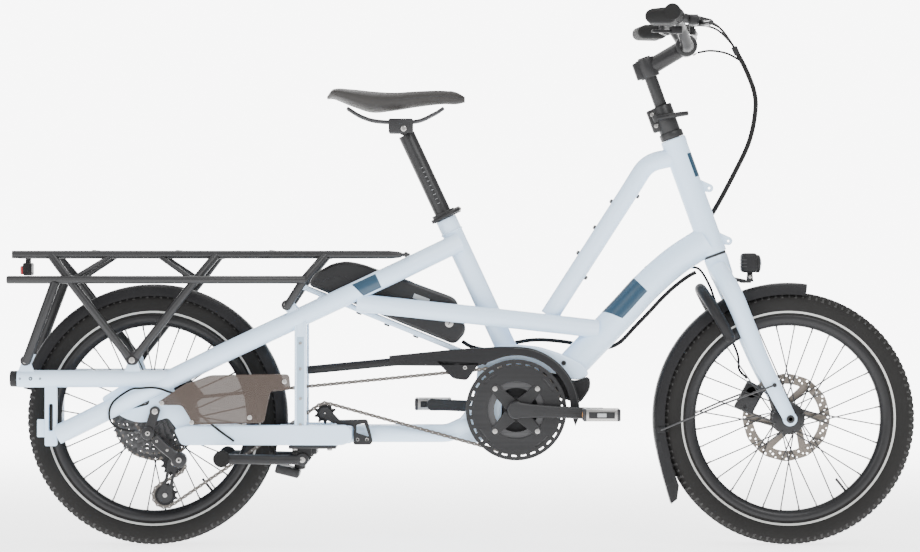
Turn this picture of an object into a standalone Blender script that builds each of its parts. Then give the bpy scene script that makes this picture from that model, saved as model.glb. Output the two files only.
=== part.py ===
"""Longtail cargo bicycle with a mid motor, 20 inch wheels, a rear rack and a double-leg stand.

Metres. +X is forward, +Y is the rider's left, +Z is up. The origin is on the ground below the
middle of the bicycle, in its mid-plane. The drive side is at -Y.
"""

import math

import bmesh
import bpy
from mathutils import Matrix, Vector

# Wheels, 55-406
WHEEL_RADIUS = 0.258
RIM_RADIUS = 0.2095
WHEEL_FACETS = 32
SPOKE_COUNT = 32
SPOKE_PHASE = math.radians(7.0)
FRONT_AXLE = Vector((0.6634, 0.0, WHEEL_RADIUS))
REAR_AXLE = Vector((-0.6306, 0.0, WHEEL_RADIUS))

# Steering axis, through the middle of the head tube's two ends
HEAD_TOP = Vector((0.4288, 0.0, 0.8281))
HEAD_BOTTOM = Vector((0.5151, 0.0, 0.5889))
HEAD_AXIS = (HEAD_TOP - HEAD_BOTTOM).normalized()
HEAD_RADIUS = 0.0255
STEERER_RADIUS = 0.0143

# Seat tube axis
SEAT_FOOT = Vector((0.0741, 0.0, 0.432))
SEAT_AXIS = Vector((-0.4242, 0.0, 0.9056)).normalized()
SEAT_TUBE_RADIUS = 0.0215
SEATPOST_RADIUS = 0.017

# Drive
CRANK_CENTRE = Vector((0.108, 0.0, 0.276))
CRANK_LENGTH = 0.170
CRANK_TILT = math.radians(-2.3)
CHAIN_PITCH = 0.0127
CHAIN_Y = -0.052
CHAIN_HEIGHT = 0.0085
CHAINRING_TEETH = 44
COG_TEETH = 17
IDLER_TEETH = 10
PULLEY_TEETH = 12
CASSETTE = (11, 13, 15, 17, 19, 22, 25, 28, 32, 36, 41)
COG_SPACING = 0.004
COG_HALF = 0.0009
CHAIN_WIDTH = 0.0052
CHAIN_CLEARANCE = 0.0012
IDLER_CENTRE = Vector((-0.280, CHAIN_Y, 0.270))
GUIDE_CENTRE = Vector((-0.588, CHAIN_Y, 0.168))
TENSION_CENTRE = Vector((-0.605, CHAIN_Y, 0.103))
DERAILLEUR_HANG = Vector((-0.637, -0.088, 0.230))
KNUCKLE_CENTRE = Vector((-0.574, -0.082, 0.176))

# Widths
STAY_Y = 0.080
PEDAL_FACE = 0.0885
GAP = 0.0003
WELD = 0.00001

# Joint places that several pieces share
STAND_PIVOT = Vector((-0.325, 0.0, 0.176))
BAR_CLAMP = Vector((0.4556, 0.0, 1.0179))
STEM_FOOT = HEAD_TOP + 0.152 * HEAD_AXIS
BAR_TURN = HEAD_TOP + 0.048 * HEAD_AXIS
SADDLE_PIVOT = SEAT_FOOT + 0.4594 * SEAT_AXIS
LAMP_PIVOT = Vector((0.586, 0.0, 0.546))
LOCK_RADIUS = 0.070

# Looks: colour, roughness, metallic
FRAME_PAINT = ("frame_paint", (0.74, 0.80, 0.90), 0.35, 0.0)
BLACK_METAL = ("black_metal", (0.035, 0.035, 0.038), 0.40, 0.3)
BLACK_PLASTIC = ("black_plastic", (0.030, 0.030, 0.032), 0.55, 0.0)
BLACK_RUBBER = ("black_rubber", (0.028, 0.028, 0.028), 0.80, 0.0)
TYRE_RUBBER = ("tyre_rubber", (0.045, 0.045, 0.045), 0.90, 0.0)
STEEL = ("steel", (0.55, 0.54, 0.52), 0.30, 1.0)
CHAIN_STEEL = ("chain_steel", (0.30, 0.25, 0.20), 0.40, 1.0)
SMOKED = ("smoked_plastic", (0.16, 0.11, 0.08), 0.25, 0.0)
SADDLE_SKIN = ("saddle_skin", (0.045, 0.042, 0.040), 0.60, 0.0)
RED_LENS = ("red_lens", (0.45, 0.02, 0.02), 0.20, 0.0)


def clear_scene():
    for obj in list(bpy.data.objects):
        bpy.data.objects.remove(obj, do_unlink=True)


clear_scene()
PARTS = bpy.data.collections.new("cargo_bicycle")
bpy.context.scene.collection.children.link(PARTS)


def look_material(look):
    """The shared Principled material of a look, made the first time it is asked for."""
    name, colour, roughness, metallic = look
    found = bpy.data.materials.get(name)
    if found:
        return found
    made = bpy.data.materials.new(name)
    made.use_nodes = True
    shader = made.node_tree.nodes["Principled BSDF"]
    shader.inputs["Base Color"].default_value = (*colour, 1.0)
    shader.inputs["Roughness"].default_value = roughness
    shader.inputs["Metallic"].default_value = metallic
    return made


def placed(name, data, look):
    """A new object in the parts collection."""
    made = bpy.data.objects.new(name, data)
    PARTS.objects.link(made)
    data.materials.clear()
    data.materials.append(look_material(look))
    return made


def from_bmesh(name, shape, look):
    bmesh.ops.recalc_face_normals(shape, faces=shape.faces)
    mesh = bpy.data.meshes.new(name)
    shape.to_mesh(mesh)
    shape.free()
    return placed(name, mesh, look)


def smooth(piece, angle=math.radians(40)):
    piece.data.shade_smooth()
    piece.data.set_sharp_from_angle(angle=angle)
    return piece


def baked(piece, name=None, look=None):
    """The piece as one closed mesh in world space, with its modifiers applied."""
    bpy.context.view_layer.update()
    graph = bpy.context.evaluated_depsgraph_get()
    mesh = bpy.data.meshes.new_from_object(piece.evaluated_get(graph))
    mesh.transform(piece.matrix_world)
    shape = bmesh.new()
    shape.from_mesh(mesh)
    bmesh.ops.remove_doubles(shape, verts=shape.verts, dist=WELD)
    bpy.data.meshes.remove(mesh)
    name = name or piece.name
    look = look or tuple_of(piece)
    bpy.data.objects.remove(piece, do_unlink=True)
    return smooth(from_bmesh(name, shape, look))


def tuple_of(piece):
    """The look of a piece, read back from its material's name."""
    return LOOKS[piece.data.materials[0].name]


LOOKS = {
    look[0]: look
    for look in (
        FRAME_PAINT,
        BLACK_METAL,
        BLACK_PLASTIC,
        BLACK_RUBBER,
        TYRE_RUBBER,
        STEEL,
        CHAIN_STEEL,
        SMOKED,
        SADDLE_SKIN,
        RED_LENS,
    )
}


def combined(base, others, operation, name):
    """The base with each of the others welded on or cut away, as one closed mesh."""
    base = baked(base)
    others = [baked(other) for other in others]
    for other in others:
        step = base.modifiers.new(other.name, "BOOLEAN")
        step.operation = operation
        step.object = other
    made = baked(base, name)
    for other in others:
        bpy.data.objects.remove(other, do_unlink=True)
    return thinned(made)


def thinned(piece):
    """The piece with the flat cuts that a Boolean leaves in its faces taken out again."""
    shape = bmesh.new()
    shape.from_mesh(piece.data)
    bmesh.ops.dissolve_limit(shape, angle_limit=math.radians(0.3), verts=shape.verts, edges=shape.edges)
    shape.to_mesh(piece.data)
    shape.free()
    return piece


def fuse(name, pieces):
    return combined(pieces[0], pieces[1:], "UNION", name)


def cut(piece, cutters):
    return combined(piece, cutters, "DIFFERENCE", piece.name)


def bar(name, points, radius, look, sides=12, taper=None):
    """A round bar, tube or wire along a list of points, with closed ends."""
    curve = bpy.data.curves.new(name, "CURVE")
    curve.dimensions = "3D"
    curve.bevel_depth = radius
    curve.bevel_resolution = (sides - 4) // 2
    curve.use_fill_caps = True
    spline = curve.splines.new("POLY")
    spline.points.add(len(points) - 1)
    for index, point in enumerate(points):
        spline.points[index].co = (*point, 1.0)
        spline.points[index].radius = taper[index] if taper else 1.0
    return placed(name, curve, look)


def bent(points, radius, steps=4):
    """The corner points of a bent tube, with each inner corner made an arc of this radius."""
    corners = [Vector(point) for point in points]
    path = [corners[0]]
    for before, here, after in zip(corners, corners[1:], corners[2:]):
        back = (before - here).normalized()
        ahead = (after - here).normalized()
        half = back.angle(ahead) / 2
        reach = min(radius / math.tan(half), 0.49 * (before - here).length, 0.49 * (after - here).length)
        start = here + back * reach
        end = here + ahead * reach
        for step in range(steps + 1):
            t = step / steps
            path.append(start.lerp(here, t).lerp(here.lerp(end, t), t))
    path.append(corners[-1])
    return path


def flowing(points, count):
    """Points along a smooth curve through the route's own points."""
    route = [Vector(point) for point in points]
    route = [2 * route[0] - route[1]] + route + [2 * route[-1] - route[-2]]
    spans = len(route) - 3
    path = []
    for index in range(count):
        along = min(index / (count - 1) * spans, spans - 1e-6)
        span = int(along)
        t = along - span
        a, b, c, d = route[span : span + 4]
        path.append(
            0.5 * (
                2 * b + (c - a) * t + (2 * a - 5 * b + 4 * c - d) * t * t + (3 * b - a - 3 * c + d) * t**3
            )
        )
    return path


def rod(name, start, end, radius, look, sides=16, end_radius=None):
    """A straight cylinder or cone from start to end."""
    start = Vector(start)
    end = Vector(end)
    along = end - start
    shape = bmesh.new()
    bmesh.ops.create_cone(
        shape,
        cap_ends=True,
        segments=sides,
        radius1=radius,
        radius2=radius if end_radius is None else end_radius,
        depth=along.length,
    )
    turn = along.to_track_quat("Z", "Y").to_matrix().to_4x4()
    shape.transform(Matrix.Translation((start + end) / 2) @ turn)
    return smooth(from_bmesh(name, shape, look))


def block(name, centre, size, look, pitch=0.0, yaw=0.0, edge=0.0):
    """A box turned by pitch about Y and yaw about Z, with its edges rounded by edge."""
    shape = bmesh.new()
    bmesh.ops.create_cube(shape, size=1.0)
    bmesh.ops.scale(shape, vec=size, verts=shape.verts)
    if edge:
        bmesh.ops.bevel(shape, geom=shape.edges[:], offset=edge, segments=2, profile=0.5, affect="EDGES")
    turn = Matrix.Rotation(yaw, 4, "Z") @ Matrix.Rotation(pitch, 4, "Y")
    shape.transform(Matrix.Translation(centre) @ turn)
    return smooth(from_bmesh(name, shape, look))


def plate(name, outline, y, thickness, look, edge=0.0):
    """A flat plate in the XZ plane, centred on y, from a closed outline of (x, z) points."""
    curve = bpy.data.curves.new(name, "CURVE")
    curve.dimensions = "2D"
    curve.fill_mode = "BOTH"
    curve.extrude = thickness / 2
    spline = curve.splines.new("POLY")
    spline.points.add(len(outline) - 1)
    for index, (x, z) in enumerate(outline):
        spline.points[index].co = (x, z, 0.0, 1.0)
    spline.use_cyclic_u = True
    made = placed(name, curve, look)
    made.rotation_euler = (math.pi / 2, 0.0, 0.0)
    made.location = (0.0, y, 0.0)
    if edge:
        made = baked(made)
        rounding = made.modifiers.new("edges", "BEVEL")
        rounding.width = edge
        rounding.segments = 2
        rounding.limit_method = "ANGLE"
        rounding.angle_limit = math.radians(50)
    return made


def arc(centre, radius, start, end, steps):
    """(x, z) points on a circle, with angles in degrees from +X towards +Z."""
    points = []
    for step in range(steps + 1):
        angle = math.radians(start + (end - start) * step / steps)
        points.append((centre[0] + radius * math.cos(angle), centre[1] + radius * math.sin(angle)))
    return points


def turned(name, profile, centre, look, steps=24, spin=0.0):
    """A ring or disc about a +Y axis through centre, from a closed profile of (radius, y) points."""
    shape = bmesh.new()
    corners = [shape.verts.new((radius, 0.0, y)) for radius, y in profile]
    for first, second in zip(corners, corners[1:] + corners[:1]):
        if first.co.x + second.co.x > WELD:
            shape.edges.new((first, second))
    mesh = bpy.data.meshes.new(name)
    shape.to_mesh(mesh)
    shape.free()
    made = placed(name, mesh, look)
    screw = made.modifiers.new("turn", "SCREW")
    screw.steps = steps
    screw.render_steps = steps
    screw.use_merge_vertices = True
    screw.merge_threshold = WELD
    made.matrix_world = (
        Matrix.Translation(centre)
        @ Matrix.Rotation(-math.pi / 2, 4, "X")
        @ Matrix.Rotation(spin, 4, "Z")
    )
    return baked(made)


def both_sides(half):
    """A closed symmetric profile from its +Y half, which runs from the outside in."""
    return half + [(radius, -y) for radius, y in reversed(half)]


def joint(name, centre, pieces):
    """An empty on a joint's axis, which the pieces that move together hang from."""
    pivot = bpy.data.objects.new(name, None)
    pivot.empty_display_size = 0.03
    pivot.location = centre
    PARTS.objects.link(pivot)
    bpy.context.view_layer.update()
    for piece in pieces:
        piece.parent = pivot
        piece.matrix_parent_inverse = pivot.matrix_world.inverted()
    return pivot


def pitch_radius(teeth):
    return CHAIN_PITCH / (2 * math.sin(math.pi / teeth))


def root_radius(teeth):
    """The radius that a sprocket fills below the chain's plates."""
    return pitch_radius(teeth) - CHAIN_HEIGHT / 2 - CHAIN_CLEARANCE


def at_side(point, side):
    return Vector((point[0], point[1] * side, point[2]))


# Frame


def half_frame(side):
    """The tubes of one side of the frame, all of which end up welded together."""
    tag = "right" if side < 0 else "left"
    upper = [
        (-0.008, 0.022, 0.617), (-0.13, 0.060, 0.558), (-0.34, 0.072, 0.460), (-0.50, 0.079, 0.385),
        (-0.822, STAY_Y, 0.226),
    ]
    beam = [(0.275, 0.018, 0.440), (0.110, 0.036, 0.4585), (0.015, 0.058, 0.469), (-0.215, 0.061, 0.494)]
    rear = [(-0.903, STAY_Y, 0.340), (-0.585, STAY_Y, 0.340)]
    low = [(-0.26, 0.052, 0.227), (-0.215, 0.030, 0.227), (-0.03, 0.028, 0.227), (0.03, 0.028, 0.255)]
    pieces = [
        bar("upper_stay_" + tag, [at_side(p, side) for p in upper], 0.0195, FRAME_PAINT, 8),
        bar("beam_" + tag, [at_side(p, side) for p in bent(beam, 0.2, 2)], 0.0185, FRAME_PAINT, 8),
        bar("rear_tube_" + tag, [at_side(p, side) for p in rear], 0.0175, FRAME_PAINT, 8),
        bar("low_stay_" + tag, [at_side(p, side) for p in bent(low, 0.06, 2)], 0.0175, FRAME_PAINT, 8),
        rear_stay(tag, side),
        strut(tag, side),
        rear_bracket(tag, side),
        dropout(tag, side),
    ]
    return pieces


def rear_stay(tag, side):
    """The deep box stay below the chain's rear half, outboard of the wheel and the chain."""
    outline = [
        (-0.585, 0.238), (-0.555, 0.2465), (-0.235, 0.2465), (-0.225, 0.236), (-0.225, 0.216),
        (-0.24, 0.2055), (-0.57, 0.2055),
    ]
    stay = plate("rear_stay_" + tag, outline, side * 0.0805, 0.020, FRAME_PAINT)
    bridge = block("stay_step_" + tag, (-0.243, side * 0.060, 0.226), (0.036, 0.050, 0.034), FRAME_PAINT)
    return fuse("rear_stay_" + tag, [stay, bridge])


def strut(tag, side):
    """The upright box between the stays, with a shallow slot down its outer face."""
    upright = block("strut_" + tag, (-0.329, side * 0.0755, 0.338), (0.024, 0.026, 0.240), FRAME_PAINT)
    slot = block("strut_slot_" + tag, (-0.329, side * 0.0885, 0.330), (0.012, 0.010, 0.190), FRAME_PAINT)
    return cut(upright, [slot])


def rear_bracket(tag, side):
    """The slotted upright that joins the rear tube to the end of the upper stay."""
    upright = block(
        "rear_bracket_" + tag,
        (-0.834, side * STAY_Y, 0.266),
        (0.024, 0.020, 0.124),
        FRAME_PAINT,
    )
    slot = block("bracket_slot_" + tag, (-0.834, side * STAY_Y, 0.262), (0.009, 0.060, 0.055), FRAME_PAINT)
    tab = block("bracket_tab_" + tag, (-0.852, side * STAY_Y, 0.240), (0.020, 0.010, 0.036), FRAME_PAINT)
    return fuse("rear_bracket_" + tag, [cut(upright, [slot]), tab])


def dropout(tag, side):
    """The plate that carries the rear axle, with an oval window and the rack's boss."""
    outline = [
        (-0.735, 0.300), (-0.66, 0.345), (-0.60, 0.345), (-0.575, 0.300), (-0.552, 0.262),
        (-0.545, 0.215), (-0.575, 0.207), (-0.625, 0.222), (-0.662, 0.236), (-0.690, 0.262),
    ]
    sheet = plate("dropout_" + tag, outline, side * 0.0755, 0.0096, FRAME_PAINT)
    window = plate(
        "window_" + tag,
        arc((-0.667, 0.287), 0.007, 110, 290, 4) + arc((-0.643, 0.294), 0.008, -70, 110, 4),
        side * 0.0755,
        0.06,
        FRAME_PAINT,
    )
    bore = rod(
        "axle_hole_" + tag,
        (REAR_AXLE.x, side * 0.06, REAR_AXLE.z),
        (REAR_AXLE.x, side * 0.1, REAR_AXLE.z),
        0.0063,
        FRAME_PAINT,
    )
    boss = plate(
        "rack_boss_" + tag,
        arc((-0.669, 0.377), 0.010, -20, 200, 4) + [(-0.700, 0.350), (-0.645, 0.350)],
        side * 0.0835,
        0.012,
        FRAME_PAINT,
    )
    rear_boss = plate(
        "rear_boss_" + tag,
        arc((-0.884, 0.377), 0.010, -20, 200, 4) + [(-0.899, 0.350), (-0.868, 0.350)],
        side * 0.0835,
        0.012,
        FRAME_PAINT,
    )
    front_boss = plate(
        "front_boss_" + tag,
        arc((-0.357, 0.489), 0.010, 30, 240, 4) + [(-0.345, 0.462), (-0.325, 0.470)],
        side * 0.076,
        0.012,
        FRAME_PAINT,
    )
    return [cut(sheet, [window, bore]), boss, rear_boss, front_boss]


def flat(pieces):
    """One list from pieces and lists of pieces."""
    return [item for piece in pieces for item in (piece if isinstance(piece, list) else [piece])]


def motor_bracket():
    """The cast shell above and behind the motor, which the tubes are welded to."""
    outline = (
        [
            (0.030, 0.396), (0.090, 0.410), (0.155, 0.404), (0.205, 0.388), (0.245, 0.368),
            (0.2585, 0.3465), (0.2285, 0.3345),
        ]
        + [
            (0.190, 0.350), (0.120, 0.356), (0.092, 0.335), (0.080, 0.300), (0.079, 0.262),
            (0.068, 0.225), (0.020, 0.205), (-0.012, 0.212), (-0.012, 0.250),
        ]
        + [(0.020, 0.290), (0.028, 0.340)]
    )
    return plate("motor_bracket", outline, 0.0, 0.076, FRAME_PAINT)


def head_tabs():
    """Two small holed tabs on the front of the head tube."""
    tabs = []
    for name, x, z in (("tab_upper", 0.503, 0.7275), ("tab_lower", 0.542, 0.6195)):
        ear = plate(
            name,
            arc((x, z), 0.0085, -110, 70, 4) + [(x - 0.028, z + 0.022), (x - 0.026, z - 0.004)],
            0.0,
            0.006,
            FRAME_PAINT,
        )
        hole = rod(name + "_hole", (x, -0.02, z), (x, 0.02, z), 0.0025, FRAME_PAINT, 8)
        tabs.append(cut(ear, [hole]))
    return tabs


def cross_tubes():
    """The tubes that tie the two sides of the frame together."""
    spots = (
        ("cross_stays", -0.285, 0.497, 0.066),
        ("cross_low", -0.130, 0.227, 0.030),
        ("cross_tail", -0.245, 0.226, 0.050),
        ("cross_seat", 0.0577, 0.4655, 0.044),
    )
    tubes = [rod(name, (x, -y, z), (x, y, z), 0.012, FRAME_PAINT, 12) for name, x, z, y in spots]
    tubes.append(
        block(
            "battery_rail",
            (-0.1455, 0.0, 0.452),
            (0.392, 0.060, 0.011),
            FRAME_PAINT,
            pitch=math.radians(22.2),
        )
    )
    return tubes


def main_frame():
    head = rod("head_tube", HEAD_BOTTOM + 0.004 * HEAD_AXIS, HEAD_TOP, HEAD_RADIUS, FRAME_PAINT, 20)
    top = bent([(0.440, 0.0, 0.793), (0.376, 0.0, 0.779), (0.337, 0.0, 0.716), (0.176, 0.0, 0.466)], 0.06, 3)
    down = flowing(
        [
            (0.497, 0.0, 0.620), (0.433, 0.0, 0.578), (0.375, 0.0, 0.527), (0.324, 0.0, 0.472),
            (0.217, 0.0, 0.360),
        ],
        6,
    )
    pieces = [
        head,
        bar("top_tube", top, 0.019, FRAME_PAINT, 12),
        bar("down_tube", down, 0.031, FRAME_PAINT, 14),
        rod(
            "seat_tube",
            SEAT_FOOT - 0.05 * SEAT_AXIS,
            SEAT_FOOT + 0.257 * SEAT_AXIS,
            SEAT_TUBE_RADIUS,
            FRAME_PAINT,
            18,
        ),
        motor_bracket(),
    ]
    pieces += cross_tubes() + head_tabs() + flat(half_frame(-1) + half_frame(1))
    frame = fuse("main_frame", pieces)
    bores = [
        rod(
            "head_bore",
            HEAD_BOTTOM - 0.02 * HEAD_AXIS,
            HEAD_TOP + 0.02 * HEAD_AXIS,
            0.0185,
            FRAME_PAINT,
            20,
        ),
        rod(
            "seat_bore",
            SEAT_FOOT + 0.045 * SEAT_AXIS,
            SEAT_FOOT + 0.28 * SEAT_AXIS,
            SEATPOST_RADIUS + GAP,
            FRAME_PAINT,
            20,
        ),
        rod(
            "motor_bore",
            CRANK_CENTRE - Vector((0, 0.1, 0)),
            CRANK_CENTRE + Vector((0, 0.1, 0)),
            0.028,
            FRAME_PAINT,
            16,
        ),
    ]
    return cut(frame, bores)


# Wheels


def tyre_profile():
    outer = [(0.2045, 0.0142), (0.2125, 0.0144), (0.236, 0.0275), (WHEEL_RADIUS, 0.0175)]
    inner = [(0.2525, 0.0140), (0.235, 0.0230), (0.2045, 0.0108)]
    return both_sides_ring(outer, inner)


def both_sides_ring(outer, inner):
    """A closed channel profile: over the outside from +Y to -Y, then back along the inside."""
    over = outer + [(radius, -y) for radius, y in reversed(outer)]
    under = [(radius, -y) for radius, y in reversed(inner)] + inner
    return over + under


def facet_radius(profile, facets):
    """The profile pushed out so that the middles of its facets lie at the true radius."""
    grow = 1 / math.cos(math.pi / facets)
    return [(radius * grow, y) for radius, y in profile]


def rim_profile():
    outer = [(0.189, 0.0090), (RIM_RADIUS, 0.0168), (RIM_RADIUS, 0.0147), (0.2035, 0.0147)]
    return both_sides(outer)


def half_hub(flange, flange_y, end_y):
    return [
        (0.0064, end_y),
        (0.014, end_y),
        (0.015, flange_y + 0.004),
        (flange, flange_y + 0.0025),
        (flange, flange_y - 0.0025),
        (0.016, flange_y - 0.006),
    ]


def hub(name, axle, flange, flange_y, left_end, right_end, rotor_y):
    """A hub shell with its crossed spokes and brake rotor. The spokes stop just inside the rim."""
    left = half_hub(flange, flange_y, left_end)
    right = [(radius, -y) for radius, y in half_hub(flange, flange_y, right_end)]
    body = turned(name + "_shell", left + right[::-1], axle, BLACK_METAL, 12)
    spokes = bmesh.new()
    pair = 2 * math.tau / SPOKE_COUNT
    for index in range(SPOKE_COUNT):
        side = 1 if index % 2 else -1
        lean = 1 if (index // 2) % 2 else -1
        rim_angle = index * math.tau / SPOKE_COUNT + SPOKE_PHASE
        hub_angle = rim_angle + lean * 1.5 * pair
        start_y = side * (flange_y - 0.0012 * lean)
        inner = axle + Vector(
            ((flange - 0.004) * math.cos(hub_angle), start_y, (flange - 0.004) * math.sin(hub_angle))
        )
        outer = axle + Vector((0.1885 * math.cos(rim_angle), side * 0.003, 0.1885 * math.sin(rim_angle)))
        along = outer - inner
        made = bmesh.ops.create_cone(
            spokes,
            cap_ends=True,
            segments=3,
            radius1=0.0012,
            radius2=0.0012,
            depth=along.length,
        )
        turn = Matrix.Translation((inner + outer) / 2) @ along.to_track_quat("Z", "Y").to_matrix().to_4x4()
        bmesh.ops.transform(spokes, matrix=turn, verts=made["verts"])
    return fuse(
        name,
        [body, rotor(name + "_rotor", axle, rotor_y), from_bmesh(name + "_spokes", spokes, STEEL)],
    )


def wheel(tag, axle):
    """The tyre and rim of one wheel. The tyre's lowest facet is flat on the ground."""
    half_turn = math.pi / WHEEL_FACETS
    tyre = turned(
        tag + "_tyre",
        facet_radius(tyre_profile(), WHEEL_FACETS),
        axle,
        TYRE_RUBBER,
        WHEEL_FACETS,
        half_turn,
    )
    rim = turned(
        tag + "_rim",
        facet_radius(rim_profile(), WHEEL_FACETS),
        axle,
        BLACK_METAL,
        WHEEL_FACETS,
        half_turn,
    )
    return [tyre, rim]


def rotor(name, axle, y):
    """The disc of the brake, which slots pierce in the bicycle itself."""
    profile = [(0.012, y - 0.001), (0.012, y + 0.001), (0.090, y + 0.001), (0.090, y - 0.001)]
    return turned(name, profile, axle, STEEL, 20)


def front_wheel():
    pieces = wheel("front", FRONT_AXLE)
    pieces.append(hub("front_hub", FRONT_AXLE, 0.033, 0.028, 0.0485, 0.0485, 0.0385))
    return joint("front_wheel_pivot", FRONT_AXLE, pieces)


def rear_wheel():
    pieces = wheel("rear", REAR_AXLE)
    pieces.append(hub("rear_hub", REAR_AXLE, 0.030, 0.017, 0.066, 0.0215, 0.0480))
    return joint("rear_wheel_pivot", REAR_AXLE, pieces)


# Drive


def drive_motor():
    """The motor's casing, bored for the crank spindle."""
    outline = (
        arc((0.112, 0.276), 0.078, -100, 20, 8)
        + [
            (0.238, 0.288), (0.2595, 0.318), (0.2590, 0.3440), (0.2288, 0.3325), (0.190, 0.3485),
            (0.1215, 0.3545), (0.0935, 0.334), (0.0815, 0.300), (0.0805, 0.262), (0.072, 0.228),
        ]
    )
    body = plate("drive_motor", outline, 0.0065, 0.089, BLACK_PLASTIC)
    nose = rod(
        "motor_nose",
        CRANK_CENTRE + Vector((0, -0.0415, 0)),
        CRANK_CENTRE + Vector((0, -0.030, 0)),
        0.026,
        BLACK_PLASTIC,
        24,
    )
    shell = fuse("drive_motor", [body, nose])
    bore = rod(
        "spindle_bore",
        CRANK_CENTRE - Vector((0, 0.1, 0)),
        CRANK_CENTRE + Vector((0, 0.1, 0)),
        0.0125,
        BLACK_PLASTIC,
        20,
    )
    return cut(shell, [bore])


def chainring():
    """The toothless root disc, its outer guard and its four-arm spider, as one bolted-up piece."""
    root = root_radius(CHAINRING_TEETH)
    web = turned(
        "chainring",
        [
            (0.060, CHAIN_Y - 0.002), (0.060, CHAIN_Y + 0.002), (root, CHAIN_Y + 0.002),
            (root, CHAIN_Y - 0.002),
        ],
        CRANK_CENTRE,
        BLACK_METAL,
        26,
    )
    guard = turned(
        "guard",
        [
            (0.058, CHAIN_Y - 0.0075), (0.058, CHAIN_Y - 0.0045), (0.1026, CHAIN_Y - 0.0045),
            (0.1026, CHAIN_Y - 0.0075),
        ],
        CRANK_CENTRE,
        BLACK_METAL,
        26,
    )
    collar = turned(
        "spider_collar",
        [
            (0.0125, CHAIN_Y - 0.0175), (0.0125, CHAIN_Y + 0.006), (0.024, CHAIN_Y + 0.006),
            (0.024, CHAIN_Y - 0.0175),
        ],
        CRANK_CENTRE,
        BLACK_METAL,
        16,
    )
    arms = []
    for index in range(4):
        turn = math.radians(45 + 90 * index)
        middle = CRANK_CENTRE + Vector((0.042 * math.cos(turn), CHAIN_Y - 0.003, 0.042 * math.sin(turn)))
        arms.append(block("spider_arm_%d" % index, middle, (0.054, 0.0105, 0.018), BLACK_METAL, pitch=-turn))
    return fuse("chainring", [web, guard, collar] + arms)


def crank_arm(name, side, direction):
    """A tapered arm from the spindle to the pedal's thread."""
    y = side * (PEDAL_FACE - 0.0075)
    tilt = Vector((direction * math.cos(CRANK_TILT), 0.0, direction * math.sin(CRANK_TILT)))
    across = Vector((-tilt.z, 0.0, tilt.x))
    outline = []
    for angle in range(-90, 91, 30):
        turn = math.radians(angle)
        point = CRANK_CENTRE + CRANK_LENGTH * tilt + 0.0135 * (
            math.cos(turn) * tilt + math.sin(turn) * across
        )
        outline.append((point.x, point.z))
    for angle in range(90, 271, 30):
        turn = math.radians(angle)
        point = CRANK_CENTRE + 0.0185 * (math.cos(turn) * tilt + math.sin(turn) * across)
        outline.append((point.x, point.z))
    arm = plate(name, outline, y, 0.0140, BLACK_METAL, 0.003)
    pedal = CRANK_CENTRE + CRANK_LENGTH * tilt
    bore = rod(
        name + "_thread",
        pedal - Vector((0, 0.2, 0)),
        pedal + Vector((0, 0.2, 0)),
        0.0073,
        BLACK_METAL,
        16,
    )
    return cut(arm, [bore]), Vector((pedal.x, 0.0, pedal.z))


def pedal(name, side, centre):
    """A platform pedal: spindle, core and cage, flat when level."""
    y = side * (PEDAL_FACE + 0.052)
    axle = rod(
        name + "_axle",
        (centre.x, side * (PEDAL_FACE - 0.014), centre.z),
        (centre.x, side * (PEDAL_FACE + 0.095), centre.z),
        0.0070,
        STEEL,
        14,
    )
    cage = block(name, (centre.x, y, centre.z), (0.075, 0.088, 0.026), BLACK_METAL, edge=0.004)
    wells = [
        block(
            name + "_well_%d" % k,
            (centre.x + k * 0.0215, y, centre.z),
            (0.019, 0.070, 0.06),
            BLACK_METAL,
        )
        for k in (-1, 1)
    ]
    return fuse(name, [cut(cage, wells), axle])


def cranks():
    right, right_eye = crank_arm("right_crank", -1, 1)
    left, left_eye = crank_arm("left_crank", 1, -1)
    spindle = rod(
        "crank_spindle",
        CRANK_CENTRE - Vector((0, 0.088, 0)),
        CRANK_CENTRE + Vector((0, 0.080, 0)),
        0.0120,
        STEEL,
        20,
    )
    right_bore = rod("right_bore", CRANK_CENTRE - Vector((0, 0.2, 0)), CRANK_CENTRE, 0.0123, STEEL, 20)
    left = fuse("left_crank", [left, spindle])
    joint("crank_axis", CRANK_CENTRE, [chainring(), cut(right, [right_bore]), left])
    joint("right_pedal_axis", right_eye, [pedal("right_pedal", -1, right_eye)])
    joint("left_pedal_axis", left_eye, [pedal("left_pedal", 1, left_eye)])


def cassette():
    """The sprocket stack at its root circles, with open slots beside the sprocket that the chain is on."""
    first_y = CHAIN_Y - COG_SPACING * CASSETTE.index(COG_TEETH)
    slot = 0.024
    profile = [(0.0068, -0.0695), (0.014, -0.0695), (0.014, first_y - COG_HALF)]
    for index, teeth in enumerate(CASSETTE):
        radius = root_radius(teeth)
        y = first_y + COG_SPACING * index
        beside = COG_TEETH in CASSETTE[max(0, index - 1) : index + 2]
        profile += [(radius, y - COG_HALF), (radius, y + COG_HALF)] if beside else [(radius, y)]
        if COG_TEETH in CASSETTE[index : index + 2]:
            profile += [(slot, y + COG_HALF), (slot, y + COG_SPACING - COG_HALF)]
    profile += [(0.015, profile[-1][1]), (0.015, -0.0222), (0.0068, -0.0222)]
    joint("cassette_axis", REAR_AXLE, [turned("cassette", profile, REAR_AXLE, STEEL, 16)])


def toothed_wheel(name, centre, teeth, look):
    """A small chain pulley that fills its root circle."""
    root = root_radius(teeth)
    half = [(0.0033, 0.0035), (0.009, 0.0035), (0.010, 0.0012), (root, 0.0012)]
    return turned(name, both_sides(half), centre, look, 10)


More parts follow.
